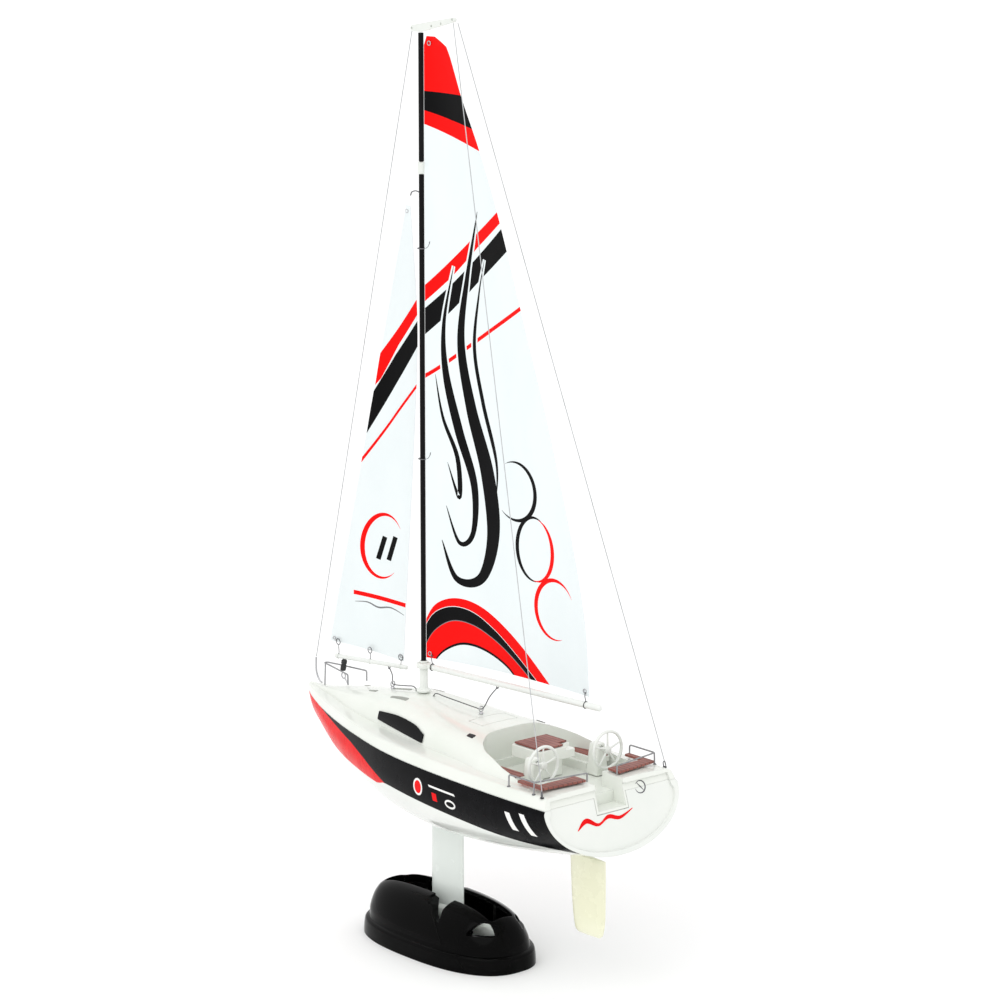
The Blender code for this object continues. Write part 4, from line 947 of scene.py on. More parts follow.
def cockpit():
    forward, port, length, width, top = TABLE
    low = SOLE + JOINT_GAP
    corner = [(forward + length / 2, port + width / 2), (forward + length / 2, port - width / 2),
              (forward - length / 2, port - width / 2), (forward - length / 2, port + width / 2)]
    body = plan_prism("table_cabinet", rounded_plan(corner, 1.2, 4), top - 6.8, top)
    carve(body, "DIFFERENCE", box("table_corner", (10, 14, 4), (forward - length / 2, port - width / 2, top)))
    foot = [(forward + (f - forward) * 0.62, port + (p - port) * 0.62) for f, p in corner]
    foot = plan_prism("table_foot", rounded_plan(foot, 1.5, 4), low, top - 6.0)
    carve(body, "UNION", foot)
    shown(body, WHITE_DECK, "boat", ("cockpit_table",), edge=0.4)
    inner = [(forward + (f - forward) * (1 - 2.4 / length), port + (p - port) * (1 - 2.4 / width))
             for f, p in corner]
    panel = plan_prism("table_panel", rounded_plan(inner, 0.6, 3), top + JOINT_GAP,
                       top + JOINT_GAP + 1.0)
    carve(panel, "DIFFERENCE",
          box("panel_corner", (12, 16, 4), (forward - length / 2, port - width / 2, top)))
    shown(panel, TEAK, "boat", ("table_top",), edge=0.2)
    for side, label in SIDES:
        strip = [(-73, 25.5), (-73, 30.5), (-88, 34), (-96.5, 34.3), (-96.5, 25.5)]
        strip = [(f, side * p) for f, p in strip]
        rise = [(-71, side * 24.2), (-71, side * 31.0), (-88, side * 34.9), (-97, side * 35.2),
                (-97, side * 24.2)]
        seat = plan_prism(f"bench_seat_{label}", rounded_plan(rise, 1.0, 3), BENCH - 0.3, 127.4)
        shown(seat, WHITE_DECK, "boat", edge=0.3)
        bench = plan_prism(f"bench_strip_{label}", rounded_plan(strip, 0.8, 3), 127.3, 128.0)
        shown(bench, TEAK, "boat", edge=0.15)
        outline = [(-106, 37.5), (-106, 41), (-126.5, 41), (-129.5, 12), (-120, 12), (-120, 37.5)]
        height = along(SHEER, -120) + along(ROOF_RISE, -115) + 0.5
        seat = plan_prism(f"quarter_seat_{label}",
                          rounded_plan([(f, side * p) for f, p in outline], 0.7, 3),
                          height, height + 1.3)
        shown(seat, TEAK, "boat", (f"stern_seat_{label}",), edge=0.2)
        helm(side, label)


def helm(side, label):
    forward, port, height = WHEEL[0], side * WHEEL[1], WHEEL[2]
    base = [(3.5, 4.5), (13.5, 4.5), (13.5, -4.5), (3.5, -4.5)]
    rings = []
    for up, share in ((SOLE + JOINT_GAP, 1.0), (121, 0.99), (128, 0.85), (133, 0.78), (136.5, 0.71),
                      (137.5, 0.64)):
        outline = rounded_outline([(8 + (f - 8) * share, p * share) for f, p in base], 1.6, 5)
        rings.append([at(forward + f, port + p, up) for f, p in (tuple(q) for q in outline)])
    pedestal = loft(f"pedestal_{label}", rings)
    carve(pedestal, "DIFFERENCE",
          rod("bore", 1.2, (forward - 2, port, height), (forward + 9, port, height), 0.0))
    shown(pedestal, WHITE_DECK, "boat", (f"helm_pedestal_{label}",), edge=0.35, angle=45)
    parts = [hoop("rim", WHEEL_RADIUS - 0.85, 1.75, (forward, port, height), (1, 0, 0), 64, 14),
             turned("hub", ((0.6, -1.5), (1.4, -1.4), (2.1, -0.9), (2.2, 0.6), (1.5, 1.1), (0.8, 1.2)),
                    (forward, port, height), (1, 0, 0), 28),
             rod("shaft", 0.8, (forward, port, height), (forward + 8, port, height), 0.1, 16)]
    for index in range(5):
        angle = radians(90 + 72 * index)
        reach = WHEEL_RADIUS - 0.9
        end = (forward, port + reach * cos(angle), height + reach * sin(angle))
        start = (forward, port + 1.6 * cos(angle), height + 1.6 * sin(angle))
        parts.append(rod("spoke", 0.62, start, end, 0.1, 12, 0.46))
    shown(merged(f"wheel_{label}", parts), WHEEL_WHITE, f"{label}_wheel",
          (f"helm_wheel_{label}",))


# ---------------------------------------------------------------- keel, rudder and stand

def foil(name, levels, thickness, count=26):
    """A blade with a rounded nose and a thin tail, from (height, leading, trailing, share) levels."""
    rings = []
    for up, leading, trailing, share in levels:
        chord = leading - trailing
        half = []
        for i in range(count + 1):
            t = (1 - cos(pi * i / count)) / 2
            depth = 4.6 * (0.2969 * t**0.5 - 0.126 * t - 0.3516 * t**2 + 0.2843 * t**3 - 0.0936 * t**4)
            half.append((leading - chord * t, (thickness * depth + 0.2) * share))
        rings.append([at(f, p, up) for f, p in half] + [at(f, -p, up) for f, p in half[::-1]])
    return loft(name, rings)


def underwater():
    bottom = BULB_HEIGHT + BULB_RADIUS - 3.0
    leading, trailing, thickness = FIN
    fin = foil("fin", [(bottom + (75.4 - bottom) * i / 12, leading, trailing, 1) for i in range(13)],
               thickness)
    carve(fin, "DIFFERENCE", rod("bolt_hole", 1.8, (0, 0, 60), (0, 0, 80), 0.0))
    shown(fin, WHITE_KEEL, "boat", ("keel_fin",), edge=0.2, angle=50)
    half = BULB_LENGTH / 2
    profile = []
    for i in range(1, 60):
        forward = half * cos(pi * i / 60)
        nose = max(0.0, 1 - (forward / half) ** 2) ** (0.5 if forward > 0 else 0.75)
        profile.append((BULB_RADIUS * nose, half - forward))
    bulb = turned("bulb", profile, (half, 0, BULB_HEIGHT), (-1, 0, 0), 56)
    slot = foil("bulb_slot",
                [(bottom - JOINT_GAP, leading + 0.3, trailing - 0.3, 1),
                 (40, leading + 0.3, trailing - 0.3, 1)],
                thickness + 0.8)
    carve(bulb, "DIFFERENCE", slot)
    shown(bulb, WHITE_BULB, "boat", ("keel_bulb",))
    levels = ((37, -110.5, -127.5), (39, -108.5, -130), (50, -106.3, -131.8), (68, -104.8, -131.9),
              (81.5, -104.0, -131.7))
    spans = [37 + 0.1, 37.6, 38.4] + [39.4 + (81.3 - 39.4) * i / 14 for i in range(15)] + [81.5]
    rows = []
    for up in spans:
        lead = along([(z, a) for z, a, _ in levels], up)
        tail = along([(z, b) for z, _, b in levels], up)
        rows.append((up, lead, tail, min(1.0, 0.35 + (up - 37) * 0.35, 0.8 + (81.5 - up) * 0.8)))
    blade = foil("blade", rows, 4.2)
    carve(blade, "DIFFERENCE", rod("blade_bore", 1.7, (RUDDER_AXIS, 0, 62), (RUDDER_AXIS, 0, 90), 0.0))
    shown(blade, CREAM, "rudder", ("rudder_blade",), edge=0.15, angle=50)
    shown(rod("rudder_shaft", 1.4, (RUDDER_AXIS, 0, 62.3), (RUDDER_AXIS, 0, 113), 0.3), STEEL, "rudder",
          ("rudder_stock",))


def rounded_oval(half_length, half_width, power, count, centre=0.0):
    spots = []
    for i in range(count):
        c, s = cos(tau * i / count), sin(tau * i / count)
        spots.append((centre + half_length * abs(c) ** (2 / power) * (1 if c > 0 else -1),
                      half_width * abs(s) ** (2 / power) * (1 if s > 0 else -1)))
    return spots


def dome(name, inset, heights):
    columns = [[(level[0], level[k]) for level in STAND_LEVELS] for k in (1, 2, 3)]
    rings = []
    for up in heights:
        length, width, shift = (along(column, up) for column in columns)
        outline = rounded_oval(STAND_HALF_LENGTH * length - inset, STAND_HALF_WIDTH * width - inset,
                               STAND_POWER, 144, shift)
        rings.append([at(f, p, up - inset) for f, p in outline])
    return loft(name, rings)


def dome_side(forward, up):
    """How far out the dome's side is at a place along it and a height."""
    length, width, shift = (along([(level[0], level[k]) for level in STAND_LEVELS], up) for k in (1, 2, 3))
    share = max(0.0, 1 - abs((forward - shift) / (STAND_HALF_LENGTH * length)) ** STAND_POWER)
    return STAND_HALF_WIDTH * width * share ** (1 / STAND_POWER)


def stand():
    heights = [0, 0.35, 1, 2, 4, 6, 7.4, 8, 8.6, 9.1, 9.4, 9.6, 9.9, 10.6] + [12 + i * 0.9 for i in range(22)]
    heights += [31.4, 31.9, 32.3, 32.6, 32.85, 33]
    made = dome("stand_dome", 0.0, heights)
    hollow = dome("stand_hollow", STAND_WALL, heights[::3] + [33])
    carve(hollow, "DIFFERENCE",
          *[box("rib_space", (2.4, 80, 80), (forward, 0, 20)) for forward in (-30, 0, 30)])
    reach = BULB_LENGTH / 2 + 2.0
    outline = rounded_outline([(1 + a * reach, b * (BULB_RADIUS + 0.5))
                               for a, b in CORNERS], 3.0, 6)
    slot = plan_prism("stand_slot", [tuple(p) for p in outline], BULB_HEIGHT, 77)
    trough = rod("stand_trough", BULB_RADIUS + 0.45, (-reach, 0, BULB_HEIGHT), (reach, 0, BULB_HEIGHT),
                 0.0, 40)
    tools = [hollow, slot, trough]
    notch = [(2, 60), (1.2, 31.6), (-6.4, 29.2), (-8.6, 27.2), (-14.6, 23.6), (-17.7, 22.8), (-17.0, 26.0),
             (-15.5, 29.2), (-15.8, 32.4), (-16, 60)]
    for side in (1, -1):
        tools.append(loft("stand_notch", [[at(side * f, side * p, z) for f, z in notch] for p in (0, 60)]))
    window = rounded_outline([(f, z, 0) for f, z in ((-38.0, 20.2), (-39.6, 24.0), (-43.0, 27.0),
                                                     (-47.0, 26.6), (-50.4, 23.6), (-52.6, 20.4))],
                             1.2, 5)
    tools.append(side_prism("stand_window", [tuple(p)[:2] for p in window], 60))
    carve(made, "DIFFERENCE", *tools)
    ridge = smooth_route([(-7.0, 28.5, 0), (-10.0, 26.2, 0), (-16.8, 21.2, 0), (-21.0, 17.2, 0),
                          (-25.2, 12.4, 0)], 0.8)
    ridges = [tube("ridge", [(side * f, side * (dome_side(f, z) - 0.12), z) for f, z, _ in ridge], 0.9, 12,
                   tips=0.3)
              for side in (1, -1)]
    shown(merged("stand_ridge", ridges), STAND_BLACK, "stand")
    shown(made, STAND_BLACK, "stand", ("display_stand",), angle=38)


# ---------------------------------------------------------------- rig

def swing(angle, axis_start, axis_end):
    start, end = at(*axis_start), at(*axis_end)
    turn = Matrix.Rotation(radians(angle), 4, (end - start).normalized())
    return Matrix.Translation(start) @ turn @ Matrix.Translation(-start)


MAIN_TURN = swing(BOOM_SWING, (MAST, 0, 0), (MAST, 0, 100))
JIB_TURN = swing(JIB_SWING, JIB_PIVOT, JIB_HEAD)


def main_place(aft, up):
    """A place on the mainsail: distance aft of the mast's axis, and height."""
    t = min(1.0, max(0.0, (aft - MAIN_LUFF) / max(along(MAIN_LEECH, up) - MAIN_LUFF, 1.0)))
    width = along(MAIN_LEECH, up) - MAIN_LUFF
    depth = CAMBER * width * 4 * t * (1 - t) * (1.25 - 0.5 * t)
    return MAIN_TURN @ at(MAST - aft, -depth, up)


def jib_point(aft, up, out=0.0):
    """A place in the jib's frame: distance aft of its swing axis, up it, and to starboard."""
    foot, head = Vector(JIB_PIVOT), Vector(JIB_HEAD)
    rise = (head - foot).normalized()
    spot = foot + rise * up + Vector((-rise.z, 0, rise.x)) * aft
    return (spot.x, -out, spot.z)


def jib_place(aft, up):
    front, back = along(JIB_LUFF, up), along(JIB_LEECH, up)
    t = min(1.0, max(0.0, (aft - front) / max(back - front, 1.0)))
    depth = CAMBER * (back - front) * 4 * t * (1 - t) * (1.25 - 0.5 * t)
    return JIB_TURN @ at(*jib_point(aft, up, depth))


def crescent(centre, radius, start, end, widest, lean=0.0):
    """A ring that is open or closed, and swells from thin ends to its widest in the middle."""
    count = 48
    route = []
    for i in range(count + 1):
        angle = radians(start + (end - start) * i / count)
        x, y = radius[0] * cos(angle), radius[1] * sin(angle)
        route.append((centre[0] + x * cos(lean) - y * sin(lean), centre[1] + x * sin(lean) + y * cos(lean)))
    return ribbon(route, ((0, 0.15), (0.3, widest * 0.8), (0.55, widest), (0.8, widest * 0.6), (1, 0.15)))


def between(upper, lower, step=2.5):
    """The outline between two smooth edges."""
    top = [tuple(p)[:2] for p in smooth_route([(x, y, 0) for x, y in upper], step)]
    low = [tuple(p)[:2] for p in smooth_route([(x, y, 0) for x, y in lower], step)]
    return top + low[::-1]


def mainsail():
    spans = [MAIN_FOOT + (517.4 - MAIN_FOOT) * i / 70 for i in range(71)]
    outline = [(MAIN_LUFF + max(0.0, z - 515.4) * 0.9, z) for z in spans]
    outline += [(along(MAIN_LEECH, z), z) for z in spans[::-1]]
    white, red, black, grey = range(4)
    shapes = [(red, [(0, 487.4), (70, 486), (70, 530), (0, 530)]),
              (black, [(0, 487.4), (0, 477.2), (40.5, 468.8), (70, 462.8), (70, 486)]),
              (red, [(0, 477.2), (0, 469.8), (44.6, 457.4), (70, 450), (70, 462.8), (40.5, 468.8)])]
    shapes += [(red,
                [(-2, 376.0), (20, 394.8), (40.5, 412.0), (57.6, 425.4), (70, 435), (70, 428), (59.2, 419.0),
                 (40.5, 404.0), (20, 385.2), (-2, 367.0)]),
               (black,
                [(-2, 363.2), (20, 381.2), (40.5, 399.0), (60, 415.8), (70, 424), (70, 408.4), (64.8, 404.4),
                 (43, 387.0), (20, 366.6), (-2, 348.4)]),
               (red,
                between([(-2, 327.6), (9.4, 334.1), (44.4, 356.9), (80, 378.6)],
                        [(-2, 325.0), (9.4, 331.6), (44.4, 354.4), (80, 376.0)]))]
    top = [(-4, 176), (1.5, 187.4), (8.2, 198.0), (19.9, 203.3), (34.4, 203.0), (50.1, 197.2), (71.4, 184.0),
           (96, 165)]
    second = [(-4, 174), (1.5, 184.5), (8.2, 193.5), (19.9, 198.3), (34.4, 197.2), (50.1, 189.8),
              (65.8, 179.3), (84, 166)]
    third = [(-4, 160), (1.5, 172.8), (8.1, 183.0), (19.9, 190.0), (34.4, 189.7), (50.2, 183.9),
             (64.4, 175.9), (79, 166)]
    arch = [(6.6, 160), (9.0, 166.8), (15.4, 173.1), (25.7, 177.9), (37.2, 178.3), (50.2, 175.1),
            (61.6, 169.7), (68, 164)]
    low = [(x, y - 0.9) for x, y in arch]
    foot = [(-6, 150), (100, 150)]
    shapes += [(red, between(top, foot)), (white, between([(x, y + 0.35) for x, y in second], foot)),
               (black, between(second, foot)), (grey, between([(x, y + 0.5) for x, y in third], foot)),
               (red, between(third, foot)), (black, between([(x, y + 0.5) for x, y in arch], foot)),
               (white, between(low, foot))]
    shapes += [(black, crescent((67.5, 271.5), (16.2, 16.4), 118, -132, 3.0)),
               (black, crescent((82.6, 241.0), (14.0, 18.0), 55, 285, 2.8)),
               (red, crescent((83.4, 240.8), (13.8, 17.6), -100, 80, 3.0)),
               (red, crescent((99.0, 209.6), (15.8, 16.8), 30, 290, 3.0))]
    shapes += emblem(black, white)
    made = artwork("mainsail_cloth", outline, shapes, 3.6, main_place)
    sheeted(made, SAIL_FINISHES, 0.3, "mainsail_rig", ("mainsail",))


def emblem(black, white):
    """A plain flame of tapered strokes that climbs the sail in one long wave."""
    strokes = [([(13, 236), (23, 215), (41, 218), (50, 244), (46, 278), (34, 314), (27, 350), (32, 386),
                 (41, 424)],
                ((0, 0.4), (0.12, 4.5), (0.35, 10.5), (0.6, 7.0), (0.85, 3.2), (1, 0.3))),
               ([(16, 256), (25, 236), (35, 243), (36, 270), (25, 300), (16, 332), (15, 360), (22, 392)],
                ((0, 0.3), (0.2, 3.6), (0.5, 6.2), (0.8, 2.8), (1, 0.2))),
               ([(17, 281), (25, 262), (24, 284), (14, 306), (9, 330)],
                ((0, 0.2), (0.35, 3.4), (0.65, 2.4), (1, 0.2))),
               ([(52, 262), (53, 285), (43, 318), (37, 348), (41, 378), (46, 398)],
                ((0, 0.2), (0.3, 2.8), (0.6, 2.6), (1, 0.2)))]
    shapes = []
    for grow, index in ((2.2, white), (0.0, black)):
        for route, widths in strokes:
            line = [tuple(p)[:2] for p in smooth_route([(x, y, 0) for x, y in route], 1.6)]
            shapes.append((index, ribbon(line, [(t, width + grow) for t, width in widths])))
    return shapes


def jib():
    spans = [JIB_TACK + (JIB_TOP - JIB_TACK) * i / 60 for i in range(61)]
    luff = [(along(JIB_LUFF, s), s) for s in spans]
    leech = [(along(JIB_LEECH, s), s) for s in spans if s > JIB_CLEW + 0.5]
    outline = luff + leech[::-1] + [(40.9, JIB_CLEW)]
    _, red, black, grey = range(4)
    shapes = [(red,
               [(-5.4, 173.2), (-5.0, 192.6), (4.5, 211.0), (15.6, 233.5), (30, 262), (30, 249),
                (17.0, 224.0), (6.0, 201.0), (-2.4, 178.0)]),
              (black,
               [(-6.6, 143.2), (-6.0, 169.0), (5.0, 195.0), (17.4, 220.0), (32, 248), (32, 230),
                (19.8, 205.4), (8.0, 178.0)]),
              (red,
               between([(-7.6, 128.0), (5.2, 151.4), (14.5, 169.0), (30, 196)],
                       [(-7.4, 125.0), (5.6, 149.0), (14.9, 166.6), (30, 193)])),
              (red, crescent((14.6, 80.0), (14.4, 19.6), 52, 322, 3.2, -0.1)),
              (black, slanted_bar(10.5, 71.0, 3.4, 15.0, 2.6)),
              (black, slanted_bar(18.0, 73.0, 3.4, 15.6, 2.6)),
              (red, [(-1.4, 46.8), (36.5, 52.4), (36.7, 49.8), (-1.0, 44.2)]),
              (grey,
               ribbon(smooth_route([(0.6, 40.2, 0), (9, 42.6, 0), (17, 42.2, 0), (26, 45.4, 0),
                                    (36.4, 44.8, 0)],
                                   1.5),
                      ((0, 0.3), (0.5, 1.0), (1, 0.3))))]
    made = artwork("jib_cloth", outline, shapes, 3.0, jib_place)
    sheeted(made, SAIL_FINISHES, 0.3, "jib_rig", ("jib",))


def spars():
    foot = roof_top(MAST) + 0.6
    socket = turned("mast_step",
                    ((3.6, 0), (4.1, 0.3), (4.2, 1.2), (3.7, 1.6), (2.9, 2.0), (SOCKET_RADIUS, 3.0),
                     (SOCKET_RADIUS, 163.8 - foot), (2.1, 164.2 - foot)),
                    (MAST, 0, foot), (0, 0, 1))
    carve(socket, "DIFFERENCE",
          rod("socket_bore", MAST_RADIUS + 0.3, (MAST, 0, foot + 2), (MAST, 0, 170), 0.0))
    shown(socket, WHITE_NYLON, "boat", ("mast_socket",))
    low, high = MAST_JOINT
    shown(rod("mast_tube_lower", MAST_RADIUS, (MAST, 0, foot + 2.3), (MAST, 0, low - 0.3), 0.2), MAST_BLACK,
          "boat", ("mast_lower",))
    shown(rod("mast_tube_upper", MAST_RADIUS, (MAST, 0, high + 0.3), (MAST, 0, MAST_HEAD), 0.2), MAST_BLACK,
          "boat", ("mast_upper",))
    shown(turned("mast_sleeve",
                 ((1.7, 0), (2.05, 0.35), (2.1, 3.0), (2.1, high - low - 0.35), (1.7, high - low)),
                 (MAST, 0, low), (0, 0, 1)),
          WHITE_NYLON, "boat", ("mast_joint",))
    hook = [(MAST + 2.0, 0, 431), (MAST + 5, 0, 431.5), (MAST + 8.5, 0, 430.5), (MAST + 9.5, 0, 428.5)]
    dark_steel(tube("jib_head_wire", smooth_route(hook, 0.7), 0.7, 12), "boat", ("jib_head_hook",))
    boom = turned("main_boom_tube", ((0.9, 0), (1.5, 0.2), (1.75, 0.6), (BOOM_RADIUS, 1.0),
                                     (BOOM_RADIUS, BOOM_LENGTH - 9), (1.7, BOOM_LENGTH - 8.2),
                                     (1.2, BOOM_LENGTH - 7.6), (0.6, BOOM_LENGTH - 7.5)),
                  (MAST - 7.5, 0, BOOM_HEIGHT), (-1, 0, 0))
    shown(boom, SPAR_WHITE, "mainsail_rig", ("main_boom",), turn=MAIN_TURN)
    collar = turned("gooseneck_collar",
                    ((3.4, -1.6), (4.0, -1.3), (4.2, -0.7), (4.2, 0.7), (4.0, 1.3), (3.4, 1.6)),
                    (MAST, 0, BOOM_HEIGHT), (0, 0, 1), 48)
    tang = box("tang", (4.5, 2.6, 2.6), (MAST - 5, 0, BOOM_HEIGHT))
    carve(collar, "UNION", tang)
    carve(collar, "DIFFERENCE",
          rod("gooseneck_bore", SOCKET_RADIUS + 0.4, (MAST, 0, 150), (MAST, 0, 170), 0.0, 36))
    shown(collar, WHITE_NYLON, "mainsail_rig", ("gooseneck",), edge=0.15, turn=MAIN_TURN)
    jib_boom = turned("jib_boom_tube",
                      ((0.7, 0), (1.15, 0.3), (1.3, 0.8), (1.3, 51.1), (1.15, 51.6), (0.7, 51.9)),
                      (100.4, 0, JIB_BOOM_HEIGHT), (-1, 0, 0))
    shown(jib_boom, SPAR_WHITE, "jib_rig", ("jib_boom",), turn=JIB_TURN)
    axis = (Vector(JIB_HEAD) - Vector(JIB_PIVOT)).normalized()
    swivel = turned("jib_swivel_barrel",
                    ((1.1, -4.0), (1.6, -3.7), (1.7, -3.0), (1.7, -0.6), (1.35, -0.3), (1.35, 0.2),
                     (1.7, 0.5), (1.7, 2.3), (1.2, 2.8)),
                    JIB_PIVOT, axis, 32)
    shown(swivel, BLACK_NYLON, "jib_rig", ("jib_swivel",))


def rig_hooks():
    """Luff rings and their wires, and the hooks that hold the sails' corners to the booms."""
    for height, label in zip(RING_HEIGHTS, ("lower", "upper")):
        dark_steel(hoop(f"luff_ring_wire_{label}", 2.35, 0.55, (MAST, 0, height), (0, 0, 1), 40, 10),
                   "mainsail_rig", (f"luff_ring_{label}",))
        wire = [(MAST - 2.2, 0, height), (MAST - 4.0, -0.3, height + 0.8), (MAST - 5.2, -0.5, height + 2.6),
                (MAST - 5.8, -0.3, height + 4.2)]
        dark_steel(tube(f"luff_hook_{label}", smooth_route(wire, 0.6), 0.4, 8), "mainsail_rig",
                   turn=MAIN_TURN)
    eyelets = [hoop("eyelet", 1.15, 0.55, (MAST - aft, 0, up), (0, 1, 0), 28, 10)
               for aft, up in ((123.6, 169.0), (5.0, 169.0), (6.2, 513.6))]
    shown(merged("main_eyelets", eyelets), STEEL, "mainsail_rig", turn=MAIN_TURN)
    eyelets = [hoop("eyelet", 0.95, 0.5, jib_point(aft, up), (0, 1, 0), 28, 10)
               for aft, up in ((-9.2, 13.4), (16.3, 16.2), (38.4, 19.8), (-0.6, 278.6))]
    shown(merged("jib_eyelets", eyelets), STEEL, "jib_rig", turn=JIB_TURN)
    for label, aft in (("clew", 124.4), ("tack", 7.0)):
        route = [(MAST - aft, 0.0, BOOM_HEIGHT + 1.6), (MAST - aft - 0.6, 0.9, BOOM_HEIGHT + 3.2),
                 (MAST - aft - 0.2, 1.0, BOOM_HEIGHT + 5.4), (MAST - aft + 0.5, -0.2, BOOM_HEIGHT + 7.0),
                 (MAST - aft + 0.2, -1.1, BOOM_HEIGHT + 5.6)]
        dark_steel(tube(f"main_{label}_hook", smooth_route(route, 0.5), 0.5, 8), "mainsail_rig",
                   turn=MAIN_TURN)
        shown(hoop(f"main_{label}_band", BOOM_RADIUS + 0.12, 0.5, (MAST - aft, 0, BOOM_HEIGHT), (1, 0, 0),
                   28, 8),
              BLACK_NYLON, "mainsail_rig", turn=MAIN_TURN)
    for index, (aft, up) in enumerate(((-6.4, 13.6), (16.3, 16.6), (38.0, 20.2))):
        spot = jib_point(aft, up)
        low = JIB_BOOM_HEIGHT + 1.35
        eyelet = hoop("eyelet", 1.75, 0.5, (spot[0], 0, spot[2] - 1.4), (0.25, 1, 0), 32, 10)
        link = tube("link", smooth_route([(spot[0] + 0.2, 0.0, low - 0.3), (spot[0] - 0.5, 0.35, low + 1.4),
                                          (spot[0] - 0.2, 0.1, spot[2] - 3.1)], 0.5), 0.4, 8)
        dark_steel(merged(f"jib_hook_{index}", [eyelet, link]), "jib_rig", turn=JIB_TURN)
        shown(hoop(f"jib_band_{index}", 1.42, 0.45, (spot[0] + 0.2, 0, JIB_BOOM_HEIGHT), (1, 0, 0), 24, 8),
              WHITE_NYLON, "jib_rig", turn=JIB_TURN)
    for label, point, turn, body in (("main", (MAST - MAIN_SHEET, 0, BOOM_HEIGHT - BOOM_RADIUS - 0.3),
                                      MAIN_TURN, "mainsail_rig"),
                                     ("jib", (JIB_SHEET, 0, JIB_BOOM_HEIGHT - 1.3 - 0.4), JIB_TURN,
                                      "jib_rig")):
        dark_steel(hoop(f"{label}_sheet_ring", 0.95, 0.45, point, (1, 0, 0), 20, 8), body, turn=turn)


def rigging():
    top = MAST_HEAD + 1.0
    shown(tube("forestay_wire", [(CRANE_FRONT + 0.6, 0, top - 0.6), (120.4, 0, 147.2)], 0.5, 10), STAY,
          "boat", ("forestay",))
    tip = MAST_HEAD + CRANE_RISE
    for side, label in SIDES:
        shown(tube(f"backstay_wire_{label}", [(CRANE_AFT - 1, side * 1.6, tip), (-131, side * 45, 127.6)],
                   0.5, 10),
              STAY, "boat", (f"backstay_{label}",))
        plate = [(-131.3, side * 45.1, 126.4), (-131.0, side * 45.0, 128.2), (-130.4, side * 44.8, 129.6),
                 (-129.6, side * 44.6, 128.6), (-129.9, side * 44.7, 126.6)]
        dark_steel(tube(f"chainplate_{label}", smooth_route(plate, 0.5), 0.6, 10), "boat")
        shown(turned(f"chainplate_foot_{label}", ((1.1, 0), (1.2, 0.2), (1.0, 0.5), (0.5, 0.6)),
                     (-130.6, side * 44.9, 126.0), (0, 0, 1), 20), BLACK_NYLON, "boat")
    fitting = [(115.3, 0, roof_top(115.3) + 1.2), (118, 0, 133.5), (120.6, 0, 138.5), (120.6, 0, 146.6)]
    shown(tube("bow_wire", smooth_route(fitting, 0.8), 1.1, 12), STEEL, "boat", ("bow_fitting",))
    for label, route, start, end, body in sheet_routes():
        made = tube(f"{label}_sheet_cord", smooth_route(route, 0.9), 0.62, 10)
        made.data.materials.append(CORD)
        made.data.shade_smooth()
        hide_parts(f"{label}_sheet")
        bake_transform(made)
    for name, forward in (("main", MAIN_EYE), ("jib", JIB_EYE)):
        height = roof_top(forward)
        loop = hoop("loop", 1.5, 0.7, (forward, 0, height + EYE_RISE), (1, 0, 0), 32, 10)
        foot = turned("foot", ((1.1, 0.2), (1.3, 0.4), (1.2, 0.9), (0.7, 1.4)), (forward, 0, height),
                      (0, 0, 1), 24)
        shown(merged(f"{name}_deck_loop", [loop, foot]), STEEL, "boat", (f"deck_eye_{name}",))
    shackle = hoop("shackle", 1.7, 0.75, (94.9, 0, 140.6), (0, 1, 0), 32, 10)
    leg = tube("leg", [(90.5, 0, roof_top(90.5) + 0.6), (92.4, 0, 138.0), (94.0, 0, 139.2)], 0.85, 10)
    shown(merged("tack_loop", [shackle, leg]), STEEL, "boat", ("deck_eye_tack",))


def sheet_routes():
    hook = MAIN_TURN @ at(MAST - MAIN_SHEET, 0, BOOM_HEIGHT - BOOM_RADIUS - 0.5)
    hook = (-hook.y / MM, hook.x / MM, hook.z / MM)
    eye = roof_top(MAIN_EYE) + EYE_RISE
    yield ("main",
           [hook, (-32.2, -3.2, 153.2), (-30.1, -1.4, eye + 1.7), (MAIN_EYE, 0.0, eye - 0.1),
            (-24, 1.0, eye + 0.2), (-12, 1.8, 147.0), (2, 1.4, 147.3), (9, 0.4, 147.2), (12.5, 0, 145.6),
            (12.5, 0, 141)],
           (MAIN_EYE, 0, eye), hook, "mainsail_rig")
    hook = JIB_TURN @ at(JIB_SHEET, 0, JIB_BOOM_HEIGHT - 1.3 - 0.6)
    hook = (-hook.y / MM, hook.x / MM, hook.z / MM)
    eye = roof_top(JIB_EYE) + EYE_RISE
    yield ("jib",
           [hook, (56, -5, 148), (51.5, -1.5, eye + 1.2), (JIB_EYE, 0, eye - 0.1), (44, 0.8, 145.2),
            (36, 0.6, 146.4), (30.5, 0.1, 147.0), (28, 0, 145.2), (28, 0, 141)],
           (JIB_EYE, 0, eye), hook, "jib_rig")


